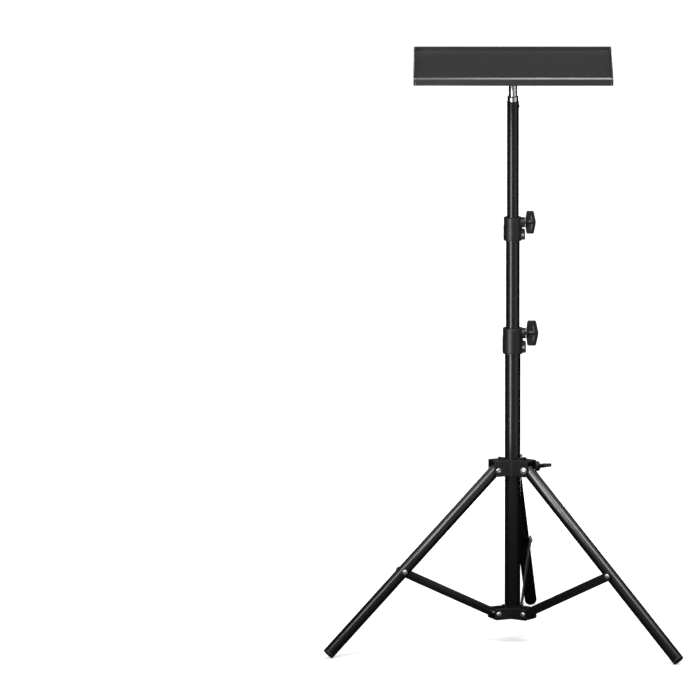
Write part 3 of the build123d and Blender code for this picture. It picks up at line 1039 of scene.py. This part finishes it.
@dataclass(frozen=True)
class Clamp:
    """Moulded collar with a wing knob on its screw and a pinch screw through its split lug.

    Attributes:
        fasteners: Tree for screws.
        name: Start of the names of its nodes.
        body: Body that carries the collar.
        knob: Its wing knob.
        pinch_x: Distance of the pinch screw from the mast axis.
        pinch_z: Height of the pinch screw.
        lug_half: Half the depth of the lug from front to back.
        screw: Pinch screw with its head in front.
        screw_tip: End of the screw behind the nut.
        tip_sunk: How far the tip starts inside the nut.
        nut_radius: Radius of the nut over its corners.
        nut_height: Height of the nut.
        nut_chamfer: Width and height of the chamfer on its corners.
    """

    fasteners: HeadedFastener
    name: str
    body: str
    knob: WingKnob
    pinch_x: float
    pinch_z: float
    lug_half: float = 8.0
    screw: Head = Head(3.2, 2.2, 1.8, 7.9, recess=1.5, depth=0.9)
    screw_tip: Head = Head(1.6, 0.5, 1.6, 1.2)
    tip_sunk: float = 0.4
    nut_radius: float = 3.4
    nut_height: float = 2.4
    nut_chamfer: Point = (0.6, 0.5)

    def build(self) -> None:
        """Make and dress the collar, its knob and its screws."""
        start = f"{self.name}_clamp"
        carry(NYLON_MOULDING, f"{start}_collar")
        carry(SCREW_ZINC, f"{start}_screw")
        self.knob.build()
        front = at(self.pinch_x, -self.lug_half, self.pinch_z)
        head = self.fasteners.cast(f"{start}_pinch_head", [(front, -BACK)], self.screw.sizes(), SCREW_ZINC)
        fit(head, self.body, SCREW_ZINC, f"{start}_pinch_screw")
        rear = at(self.pinch_x, self.lug_half, self.pinch_z)
        place = Matrix.Translation(rear) @ Matrix.Rotation(-math.pi / 2, 4, "X")
        fit(solid(f"{start}_pinch_nut", self.nut(), place), self.body, SCREW_ZINC)
        end = at(self.pinch_x, self.lug_half + self.nut_height - self.tip_sunk, self.pinch_z)
        tip = self.fasteners.cast(f"{start}_pinch_tip", [(end, BACK)], self.screw_tip.sizes(), SCREW_ZINC)
        fit(tip, self.body, SCREW_ZINC)

    def nut(self) -> bmesh.types.BMesh:
        """Draw a hexagon nut with chamfered corners, standing on the XY plane.

        Returns:
            The closed mesh.
        """
        width, drop = self.nut_chamfer
        shoulder = (self.nut_radius, self.nut_height - drop)
        top = (self.nut_radius - width, self.nut_height)
        outline = [(0.0, 0.0), (self.nut_radius, 0.0), shoulder, top, (0.0, self.nut_height)]
        return lathe(outline, segments=6)


class Station(Enum):
    """The three places round the mast that have a leg."""

    REAR = "rear"
    RIGHT = "right"
    LEFT = "left"

    def turn(self) -> Matrix:
        """Find the turn from the rear of the mast to this station."""
        spot, _ = joint(f"{self.value}_leg_fold")
        return Matrix.Rotation(math.atan2(-spot.x, spot.y), 4, "Z")


@dataclass(frozen=True)
class Pivots:
    """Where the legs and the braces turn, in millimetres.

    Attributes:
        radius: Distance of every pivot from the mast axis.
        hub: Height of the legs' pivots.
        spider: Height of the braces' pivots.
    """

    radius: float
    hub: float
    spider: float


PIVOTS = Pivots(radius=30.0, hub=282.0, spider=50.0)


@dataclass(frozen=True)
class LegSet:
    """One leg with its foot, its brace and their rivets.

    Attributes:
        station: Place of the leg round the mast.
        tubes: Tree for tubes.
        fasteners: Tree for rivets.
        spread: Angle between the leg and the mast, in radians.
        radius: Radius of the leg tube.
        wall: Its wall.
        rim: Rounding of its ends.
        stub: How far it runs up past its pivot.
        foot_height: Height of the foot below the tube.
        plug_length: How far the foot goes into the tube.
        grooves: Radii where the grooves in the foot's tread start.
        groove_depth: Depth of a groove.
        groove_width: Width of a groove.
        groove_slope: How far each of its sides leans in.
        brace_at: Distance of the brace's rivet from the leg's pivot.
        brace_width: Width of the brace.
        brace_thickness: Its thickness.
        brace_edge: Rounding of its edges.
        brace_side: Distance of its inner face from the middle of the leg.
        brace_steps: Straight runs round each of its ends.
        rivet: Head of the rivet on the brace.
        tail: Its other head, behind the leg.
        tail_sunk: How far that head sinks into the round of the tube.
    """

    station: Station
    tubes: RolledTube
    fasteners: HeadedFastener
    spread: float = math.radians(46.7)
    radius: float = 9.5
    wall: float = 1.2
    rim: float = 0.4
    stub: float = 7.5
    foot_height: float = 3.0
    plug_length: float = 16.0
    grooves: Point = (2.4, 5.2)
    groove_depth: float = 0.7
    groove_width: float = 1.2
    groove_slope: float = 0.3
    brace_at: float = 222.0
    brace_width: float = 14.0
    brace_thickness: float = 2.7
    brace_edge: float = 0.45
    brace_side: float = 9.7
    brace_steps: int = 23
    rivet: Head = Head(4.8, 2.4, 2.5, 2.0)
    tail: Head = Head(4.8, 2.4, 2.5, 9.0)
    tail_sunk: float = 0.9

    def build(self) -> None:
        """Make and dress every piece of the leg."""
        self.tube()
        self.foot()
        self.brace()
        self.rivets()

    def place(self) -> Matrix:
        """Find where the leg goes when it is drawn down the Z axis from its pivot."""
        pivot = Matrix.Translation(at(0.0, PIVOTS.radius, PIVOTS.hub))
        return self.station.turn() @ pivot @ Matrix.Rotation(self.spread, 4, "X")

    def length(self) -> float:
        """Find the length from the pivot to the end whose low rim touches the floor."""
        return (PIVOTS.hub - self.radius * math.sin(self.spread)) / math.cos(self.spread)

    def tube(self) -> None:
        """Leg tube from its stub in the hub to the foot."""
        name = self.station.value
        low, high = self.foot_height - self.length(), self.stub
        middle = self.place() @ at(0.0, 0.0, (low + high) / 2)
        way = self.place().to_3x3() @ UP
        cut = TubeCut(self.radius, self.wall, high - low, self.rim)
        tube = self.tubes.cast(f"{name}_leg_drawn", [(middle, way)], cut.sizes(), TUBE_ENAMEL)
        fit(tube, f"{name}_leg", TUBE_ENAMEL, f"{name}_leg_tube")

    def foot(self) -> None:
        """Plug foot with an eased rim and two grooves in its tread."""
        name = self.station.value
        end = -self.length()
        top = end + self.foot_height
        bore = self.radius - self.wall - SLIP
        corners = [(0.0, end, 0.0)]
        for groove in self.grooves:
            roof, stop = end + self.groove_depth, groove + self.groove_width
            corners += [(groove, end, 0.15), (groove + self.groove_slope, roof, 0.1)]
            corners += [(stop - self.groove_slope, roof, 0.1), (stop, end, 0.15)]
        corners += [(self.radius, end, 0.5), (self.radius, top, 0.2), (bore, top, 0.0)]
        corners += [(bore, top + self.plug_length, 1.0), (0.0, top + self.plug_length, 0.0)]
        foot = solid(f"{name}_foot_plug", lathe(rounded(corners), segments=72), self.place())
        fit(foot, f"{name}_leg", FOOT_VINYL, f"{name}_leg_foot")

    def brace_end(self) -> Vector:
        """Find the middle of the brace's upper end, at the rear station, in millimetres."""
        reach = PIVOTS.radius + self.brace_at * math.sin(self.spread)
        return Vector((self.brace_side, reach, PIVOTS.hub - self.brace_at * math.cos(self.spread)))

    def brace(self) -> None:
        """Flat bar with round ends and eased edges."""
        name = self.station.value
        low, high = Vector((self.brace_side, PIVOTS.radius, PIVOTS.spider)), self.brace_end()
        run = (high - low).normalized()
        up = RIGHT.cross(run)
        thick, edge = self.brace_thickness, self.brace_edge
        ease = edge * (1 - math.sqrt(0.5))
        levels = [(0.0, edge), (ease, ease), (edge, 0.0)]
        levels += [(thick - depth, inset) for depth, inset in reversed(levels)]
        rings = []
        for depth, inset in levels:
            radius = self.brace_width / 2 - inset
            ring = []
            for centre, start in ((low, math.pi / 2), (high, -math.pi / 2)):
                for step in range(self.brace_steps + 1):
                    angle = start + math.pi * step / self.brace_steps
                    spoke = run * (radius * math.cos(angle)) + up * (radius * math.sin(angle))
                    ring.append(centre + spoke + RIGHT * depth)
            rings.append(ring)
        bar = solid(f"{name}_brace_bar", stack(rings), self.station.turn())
        fit(bar, f"{name}_brace", BAR_ENAMEL, f"{name}_brace")

    def rivets(self) -> None:
        """Rivet through the brace and the leg, a head on each side."""
        name, turn, end = self.station.value, self.station.turn(), self.brace_end()
        right = turn.to_3x3() @ RIGHT
        outer = turn @ at(self.brace_side + self.brace_thickness, end.y, end.z)
        head = self.fasteners.cast(f"{name}_brace_head", [(outer, right)], self.rivet.sizes(), RIVET_NICKEL)
        fit(head, f"{name}_brace", RIVET_NICKEL, f"{name}_brace_rivet")
        inner = turn @ at(self.tail_sunk - self.radius, end.y, end.z)
        tail = self.fasteners.cast(f"{name}_leg_head", [(inner, -right)], self.tail.sizes(), RIVET_NICKEL)
        fit(tail, f"{name}_leg", RIVET_NICKEL, f"{name}_leg_rivet")


@dataclass(frozen=True)
class Hub:
    """Sliding hub with its leg rivets, its lock knob, and the fixed spider below with its rivets.

    Attributes:
        fasteners: Tree for rivets.
        ear_side: Distance of an ear's faces from its middle.
        lug_side: The same for the spider's lugs.
        dome: Domed head of a leg rivet.
        rolled: Rolled end of a leg rivet.
        spider_rivet: Head of a brace rivet, alike on both sides.
        knob: Its lock knob.
    """

    fasteners: HeadedFastener
    ear_side: float = 12.9
    lug_side: float = 14.6
    dome: Head = Head(6.5, 4.2, 3.0, 12.0)
    rolled: Head = Head(4.4, 2.0, 3.0, 12.0, recess=2.4, depth=1.2)
    spider_rivet: Head = Head(4.8, 2.4, 2.5, 14.6)
    knob: WingKnob = HUB_KNOB

    @staticmethod
    def marks(side: float, height: float, way: float) -> list[Mark]:
        """Find the rivet places on one side of every ear.

        Args:
            side: Distance of the ear's face from its middle, in millimetres.
            height: Height of the pivots in millimetres.
            way: One for the clockwise side, minus one for the other.

        Returns:
            Places with the way that each head points.
        """
        spot = at(side * way, PIVOTS.radius, height)
        return [(station.turn() @ spot, station.turn().to_3x3() @ (RIGHT * way)) for station in Station]

    def build(self) -> None:
        """Dress the mouldings and set their rivets and the lock knob."""
        carry(NYLON_MOULDING, "leg_hub", "bottom_spider")
        carry(SCREW_ZINC, "hub_lock_screw")
        domes = self.marks(self.ear_side, PIVOTS.hub, 1.0)
        dome_heads = self.fasteners.cast("hub_rivet_domes", domes, self.dome.sizes(), RIVET_NICKEL)
        fit(dome_heads, "hub", RIVET_NICKEL, "hub_rivets")
        ends = self.marks(self.ear_side, PIVOTS.hub, -1.0)
        rolled_ends = self.fasteners.cast("hub_rivet_rolled_ends", ends, self.rolled.sizes(), RIVET_NICKEL)
        fit(rolled_ends, "hub", RIVET_NICKEL)
        both = [mark for way in (1.0, -1.0) for mark in self.marks(self.lug_side, PIVOTS.spider, way)]
        pins = self.fasteners.cast("spider_rivet_pins", both, self.spider_rivet.sizes(), RIVET_NICKEL)
        fit(pins, "column", RIVET_NICKEL, "spider_rivets")
        self.knob.build()


class LipEnd(Enum):
    """How a lip of the tray ends."""

    BEVELLED = "runs past the corner and draws in like its outer face"
    BUTTED = "stops square against the next lip"


@dataclass(frozen=True)
class Tray:
    """Folded sheet-steel tray: a deck, four lips, the socket under it and the spigot that it sits on.

    Attributes:
        fasteners: Tree for screws.
        mast: Mast that carries the tray.
        width: Width over the lips.
        depth: Depth over the lips.
        bottom: Height of the lips' lower edges.
        lip_height: Height of a lip.
        lip_thickness: Thickness of a lip.
        lip_foot: Rounding of its lower outer edge.
        lip_edge: Rounding of its upper inner edge.
        lip_corners: Rounding of its upright edges, outside and inside.
        foot_steps: Steps over the rounding of its lower edge.
        bevel: Height of the bevel along its top.
        bevel_slope: How far the bevel draws in for each millimetre of height.
        ease: Height over which the bevel starts.
        bevel_steps: Steps over the bevel.
        seam: Gap between a butted lip and the next one.
        deck_top: Height of the deck.
        deck_thickness: Its thickness.
        deck_chamfer: Chamfer round its underside.
        deck_gap: Gap between the deck and the lips.
        bend: Radius of the bend from the deck to the lips.
        bend_steps: Steps over the bend.
        spigot_radius: Radius of the spigot's stem.
        collar_radius: Radius of its collar.
        collar_height: Height of its collar.
        plug_length: How far it goes into the mast.
        plate_radius: Radius of the socket's plate.
        plate_thickness: Thickness of the plate.
        bush_radius: Radius of the bush below the plate.
        bush_height: Height of the bush.
        screw: Screw of the plate.
        screw_ring: Distance of the screws from the mast axis.
    """

    fasteners: HeadedFastener
    mast: Mast
    width: float = 316.0
    depth: float = 290.0
    bottom: float = 923.2
    lip_height: float = 13.0
    lip_thickness: float = 3.2
    lip_foot: float = 1.6
    lip_edge: float = 0.7
    lip_corners: Point = (0.4, 0.2)
    foot_steps: int = 6
    bevel: float = 2.7
    bevel_slope: float = 0.58
    ease: float = 0.3
    bevel_steps: int = 14
    seam: float = 0.12
    deck_top: float = 929.8
    deck_thickness: float = 1.2
    deck_chamfer: float = 0.3
    deck_gap: float = 0.02
    bend: float = 0.15
    bend_steps: int = 6
    spigot_radius: float = 7.0
    collar_radius: float = 8.9
    collar_height: float = 8.6
    plug_length: float = 30.0
    plate_radius: float = 22.0
    plate_thickness: float = 2.0
    bush_radius: float = 10.5
    bush_height: float = 9.0
    screw: Head = Head(2.6, 1.0, 1.6, 2.6, recess=1.2, depth=0.5)
    screw_ring: float = 16.2

    def build(self) -> None:
        """Make and dress every piece of the tray."""
        self.deck()
        self.lips()
        self.socket()
        self.spigot()

    @staticmethod
    def round_inset(into: float, radius: float) -> float:
        """Find how far a rounded edge draws in.

        Args:
            into: Height past the start of the round.
            radius: Radius of the round.

        Returns:
            Distance from the flat face.
        """
        into = min(max(into, 0.0), radius)
        return radius - math.sqrt(radius**2 - into**2)

    def bevel_inset(self, into: float) -> float:
        """Find how far the bevel along a lip's top draws in.

        Args:
            into: Height past the start of the bevel.

        Returns:
            Distance from the flat face.
        """
        into = max(into, 0.0)
        eased = into**2 / (2 * self.ease) if into < self.ease else into - self.ease / 2
        return self.bevel_slope * eased

    def lip(self, length: float, ends: LipEnd) -> bmesh.types.BMesh:
        """Draw a lip along X with its outer face towards -Y, standing on the XY plane.

        Args:
            length: Length of the lip in millimetres.
            ends: How its ends are made.

        Returns:
            The closed mesh.
        """
        bevel_start = self.lip_height - self.bevel
        heights = []
        for step in range(self.foot_steps + 1):
            heights.append(self.lip_foot * (1 - math.cos(math.pi / 2 * step / self.foot_steps)))
        for step in range(self.bevel_steps + 1):
            heights.append(bevel_start + self.bevel * step / self.bevel_steps)
        half = self.lip_thickness / 2
        outside, inside = self.lip_corners
        rings = []
        for height in heights:
            outer = self.bevel_inset(height - bevel_start)
            outer += self.round_inset(self.lip_foot - height, self.lip_foot)
            inner = self.round_inset(height - (self.lip_height - self.lip_edge), self.lip_edge)
            right = length / 2 - (outer if ends is LipEnd.BEVELLED else self.seam)
            corners = [
                (-right, outer - half, outside),
                (right, outer - half, outside),
                (right, half - inner, inside),
                (-right, half - inner, inside),
            ]
            ring = rounded(corners, closed=True, steps=3)
            rings.append([Vector((across, along, height)) for across, along in ring])
        return stack(rings)

    def lips(self) -> None:
        """Four lips; the side ones run the full depth and show a seam at each corner."""
        across = self.width - 2 * self.lip_thickness
        sides = {
            "front": (across, LipEnd.BUTTED, 0.0, self.depth / 2),
            "right": (self.depth, LipEnd.BEVELLED, math.pi / 2, self.width / 2),
            "rear": (across, LipEnd.BUTTED, math.pi, self.depth / 2),
            "left": (self.depth, LipEnd.BEVELLED, -math.pi / 2, self.width / 2),
        }
        for side, (length, ends, turn, reach) in sides.items():
            out = Matrix.Translation(at(0.0, self.lip_thickness / 2 - reach, self.bottom))
            place = Matrix.Rotation(turn, 4, "Z") @ out
            lip = solid(f"tray_{side}_lip_fold", self.lip(length, ends), place)
            fit(lip, "upper", TRAY_COAT, f"tray_{side}_lip")

    def deck(self) -> None:
        """Flat deck that turns up into the lips with a bend."""
        under = -self.deck_thickness
        levels = [(self.deck_chamfer, under), (self.deck_gap, under + self.deck_chamfer)]
        levels.append((self.deck_gap, self.bend))
        for step in range(1, self.bend_steps + 1):
            turn = math.pi / 2 * step / self.bend_steps
            levels.append((self.bend * (1 - math.cos(turn)), self.bend * (1 - math.sin(turn))))
        rings = []
        for inset, height in levels:
            right = self.width / 2 - self.lip_thickness - inset
            back = self.depth / 2 - self.lip_thickness - inset
            corners = ((-right, -back), (right, -back), (right, back), (-right, back))
            rings.append([Vector((across, along, self.deck_top + height)) for across, along in corners])
        fit(solid("tray_deck_sheet", stack(rings)), "upper", TRAY_COAT, "tray_deck")

    def socket(self) -> None:
        """Socket under the deck: a round plate with a bush, held by four screws."""
        under = self.deck_top - self.deck_thickness
        plate = under - self.plate_thickness
        bush = plate - self.bush_height
        bore = self.spigot_radius + SLIP
        corners = [
            (bore, bush, 0.4),
            (self.bush_radius, bush, 0.8),
            (self.bush_radius, plate, 1.2),
            (self.plate_radius, plate, 0.6),
            (self.plate_radius, under, 0.2),
            (bore, under, 0.0),
        ]
        cup = lathe(rounded(corners, closed=True), segments=72, closed=True)
        fit(solid("tray_socket_cup", cup), "upper", TRAY_COAT, "tray_socket")
        ring = self.screw_ring
        turns = [math.pi / 4 + math.pi / 2 * index for index in range(4)]
        marks = [(at(ring * math.cos(turn), ring * math.sin(turn), plate), -UP) for turn in turns]
        screws = self.fasteners.cast("tray_socket_screws", marks, self.screw.sizes(), SCREW_ZINC)
        fit(screws, "upper", SCREW_ZINC)

    def spigot(self) -> None:
        """Turned spigot: a plug in the tube, a rounded collar and a stem into the socket."""
        top = self.deck_top - self.deck_thickness - self.plate_thickness
        seat = self.mast.upper.top
        plug = self.mast.plug_radius(self.mast.upper)
        collar_top = seat + self.collar_height
        corners = [
            (0.0, seat - self.plug_length, 0.0),
            (plug, seat - self.plug_length, 0.8),
            (plug, seat, 0.0),
            (self.collar_radius, seat, 0.25),
            (self.collar_radius, collar_top, 1.85),
            (self.spigot_radius, collar_top, 0.0),
            (self.spigot_radius, top, 0.6),
            (0.0, top, 0.0),
        ]
        spigot = solid("tray_spigot_turned", lathe(rounded(corners, steps=8), segments=96))
        fit(spigot, "upper", SPIGOT_CHROME, "spigot")


# Studio


@dataclass(frozen=True)
class Softbox:
    """A rectangular light that the camera doesn't see, in metres.

    Attributes:
        name: Name of the light.
        spot: Where it hangs.
        aim: What it points at.
        size: Width and height.
        watts: Power.
        along: What its width runs with; level where it isn't given.
    """

    name: str
    spot: Place
    aim: Place
    size: Point
    watts: float
    along: Place | None = None

    def hang(self) -> None:
        """Hang the light in the scene."""
        lamp = bpy.data.lights.new(self.name, "AREA")
        lamp.shape = "RECTANGLE"
        lamp.size, lamp.size_y = self.size
        lamp.energy = self.watts
        light = bpy.data.objects.new(self.name, lamp)
        light.location = self.spot
        back = (Vector(self.spot) - Vector(self.aim)).normalized()
        run = Vector(self.along) if self.along else UP.cross(back)
        side = (run - back * run.dot(back)).normalized()
        light.rotation_euler = Matrix((side, back.cross(side), back)).transposed().to_euler()
        light.visible_camera = False
        bpy.context.scene.collection.objects.link(light)


LIGHTS = (
    # Narrow strip that draws the line of light down the mast.
    Softbox("mast_strip", spot=(-0.147, -0.226, 0.57), aim=(0.0, 0.0, 0.57), size=(0.075, 0.56), watts=1.22),
    # Dim panel that fills the right side.
    Softbox("right_panel", spot=(1.1, -0.69, 0.8), aim=(0.0, 0.0, 0.62), size=(1.2, 1.6), watts=3.0),
    # Panel that the bevel of the tray's front lip mirrors.
    Softbox("lip_panel", spot=(0.0, -1.3, 2.3), aim=(0.0, 0.0, 0.9), size=(0.6, 0.45), watts=10.5),
    # Bars that run with the front legs and draw a line of light down each.
    Softbox(
        "left_bar",
        spot=(-0.75, -1.06, 1.35),
        aim=(-0.25, -0.11, 0.05),
        size=(0.8, 0.27),
        watts=9.5,
        along=(-0.66, -0.3, -0.69),
    ),
    Softbox(
        "right_bar",
        spot=(0.6, -1.25, 2.3),
        aim=(0.18, -0.13, 0.1),
        size=(1.3, 0.4),
        watts=25.0,
        along=(0.59, -0.42, -0.69),
    ),
    # Strips behind the stand that light it from the rear.
    Softbox("rear_left_strip", spot=(-0.34, 1.26, 0.45), aim=(0.0, 0.0, 0.45), size=(0.2, 0.9), watts=3.0),
    Softbox("rear_right_strip", spot=(0.34, 1.26, 0.45), aim=(0.0, 0.0, 0.45), size=(0.2, 0.9), watts=3.0),
)


@dataclass(frozen=True)
class Studio:
    """White floor, soft lights and the camera, which sees the stand from a little above and far off.

    Attributes:
        aim: Middle of the picture, in metres.
        elevation: Height of the camera above level, in radians.
        distance: Distance of the camera in metres.
        frame_width: Width of the picture at the stand, in metres.
        sensor: Width of the camera's sensor in millimetres.
        view_end: How far the camera sees, in metres.
        floor_half: Half the side of the floor in metres.
        shadow_reach: Distances from the mast between which the floor's shadow fades, in metres.
        floor_glow: Glow of the floor at those distances, to the eye alone.
        fill: Light of the surroundings on the stand.
        tent_radius: Radius of the cloth round the stand, in metres.
        tent_height: Height of the cloth in metres.
        tent_lift: Its height above the floor in metres, so that the two don't share a face.
        tent_glow: Glow of the cloth in front.
        tent_fade: Depths between which that glow fades out, in metres.
    """

    aim: Place = (-0.258, 0.0, 0.4726)
    elevation: float = math.radians(10.5)
    distance: float = 50.0
    frame_width: float = 1.110
    sensor: float = 36.0
    view_end: float = 200.0
    floor_half: float = 60.0
    shadow_reach: Point = (0.4, 1.6)
    floor_glow: Point = (0.5, 1.0)
    fill: float = 0.28
    tent_radius: float = 1.7
    tent_height: float = 1.9
    tent_lift: float = 0.0005
    tent_glow: float = 0.22
    tent_fade: Point = (-1.0, 0.0)

    def build(self) -> None:
        """Set up everything that isn't part of the object."""
        self.camera()
        self.floor()
        self.world()
        self.tent()
        for light in LIGHTS:
            light.hang()
        bpy.context.scene.view_settings.view_transform = "Standard"

    def camera(self) -> None:
        """Long lens from a little above, square to the tray's front."""
        lens = bpy.data.cameras.new("studio_camera")
        lens.sensor_width = self.sensor
        lens.lens = self.sensor * self.distance / self.frame_width
        lens.clip_end = self.view_end
        camera = bpy.data.objects.new("studio_camera", lens)
        way = UP * math.sin(self.elevation) - BACK * math.cos(self.elevation)
        camera.location = Vector(self.aim) + way * self.distance
        camera.rotation_euler = (math.pi / 2 - self.elevation, 0.0, 0.0)
        bpy.context.scene.collection.objects.link(camera)
        bpy.context.scene.camera = camera

    @staticmethod
    def seen(tree: bpy.types.NodeTree) -> bpy.types.NodeSocket:
        """Tell rays that show a surface from rays that carry its light.

        Args:
            tree: Tree to add to.

        Returns:
            One for camera, mirror and clear rays, and zero for the rest.
        """
        path = add_node(tree, "ShaderNodeLightPath").outputs
        shown = path["Is Camera Ray"]
        for ray in ("Is Glossy Ray", "Is Transmission Ray"):
            links = {0: shown, 1: path[ray]}
            shown = add_node(tree, "ShaderNodeMath", {"operation": "MAXIMUM"}, links).outputs[0]
        return shown

    @staticmethod
    def backdrop(name: str, colour: str, roughness: float, shine: float) -> bpy.types.Material:
        """Make a plain material that can glow white.

        Args:
            name: Name of the material.
            colour: Its colour.
            roughness: Its roughness.
            shine: Level of its reflections.

        Returns:
            The material, with its glow still to be linked.
        """
        material = bpy.data.materials.new(name)
        material.use_nodes = True
        inputs = material.node_tree.nodes["Principled BSDF"].inputs
        inputs["Base Color"].default_value = linear(colour)
        inputs["Roughness"].default_value = roughness
        inputs["Specular IOR Level"].default_value = shine
        inputs["Emission Color"].default_value = linear("#ffffff")
        return material

    def floor(self) -> None:
        """White floor that keeps a soft shadow near the feet and runs out to plain white."""
        shape = bmesh.new()
        bmesh.ops.create_grid(shape, x_segments=1, y_segments=1, size=self.floor_half)
        floor = solid("studio_floor", shape)
        paper = self.backdrop("white_paper_floor", "#e8e8e8", 0.9, 0.1)
        tree = paper.node_tree
        place = add_node(tree, "ShaderNodeTexCoord").outputs["Object"]
        reach = add_node(tree, "ShaderNodeVectorMath", {"operation": "LENGTH"}, {0: place}).outputs["Value"]
        near, far = self.shadow_reach
        low, high = self.floor_glow
        spread = {"From Min": near, "From Max": far, "To Min": low, "To Max": high}
        glow = add_node(tree, "ShaderNodeMapRange", spread, {"Value": reach}).outputs["Result"]
        links = {0: glow, 1: self.seen(tree)}
        strength = add_node(tree, "ShaderNodeMath", {"operation": "MULTIPLY"}, links).outputs[0]
        tree.links.new(strength, tree.nodes["Principled BSDF"].inputs["Emission Strength"])
        floor.data.materials.append(paper)

    def world(self) -> None:
        """Even white surroundings that fill the shadows softly."""
        world = bpy.data.worlds.new("studio_surround")
        bpy.context.scene.world = world
        world.use_nodes = True
        tree = world.node_tree
        background = tree.nodes["Background"]
        background.inputs["Color"].default_value = linear("#ffffff")
        levels = {"To Min": self.fill, "To Max": 1.0}
        level = add_node(tree, "ShaderNodeMapRange", levels, {"Value": self.seen(tree)}).outputs["Result"]
        tree.links.new(level, background.inputs["Strength"])

    def tent(self) -> None:
        """Cloth round and under the stand that only reflections see: dim in front, black behind."""
        radius, height, lift = (size / MM for size in (self.tent_radius, self.tent_height, self.tent_lift))
        tent = solid("studio_black_tent", lathe([(0.0, lift), (radius, lift), (radius, height)], segments=96))
        cloth = self.backdrop("black_studio_cloth", "#050505", 1.0, 0.0)
        tree = cloth.node_tree
        place = add_node(tree, "ShaderNodeTexCoord").outputs["Object"]
        depth = add_node(tree, "ShaderNodeSeparateXYZ", links={0: place}).outputs["Y"]
        front, middle = self.tent_fade
        fade = {"From Min": front, "From Max": middle, "To Min": self.tent_glow, "To Max": 0.0}
        glow = add_node(tree, "ShaderNodeMapRange", fade, {"Value": depth}).outputs["Result"]
        tree.links.new(glow, tree.nodes["Principled BSDF"].inputs["Emission Strength"])
        tent.data.materials.append(cloth)
        tent.visible_camera = False
        tent.visible_diffuse = False
        tent.visible_shadow = False


def main() -> None:
    """Build the studio, the mast, its clamps, the hub, the legs and the tray."""
    logging.basicConfig(level=logging.INFO, format="%(message)s")
    Studio().build()
    tubes = RolledTube()
    fasteners = HeadedFastener()
    mast = Mast(tubes, fasteners)
    mast.build()
    Clamp(fasteners, "lower", "column", LOWER_KNOB, pinch_x=17.7, pinch_z=477.9).build()
    Clamp(fasteners, "upper", "middle", UPPER_KNOB, pinch_x=16.2, pinch_z=659.3).build()
    Hub(fasteners).build()
    for station in Station:
        LegSet(station, tubes, fasteners).build()
    Tray(fasteners, mast).build()


if __name__ == "__main__":
    main()
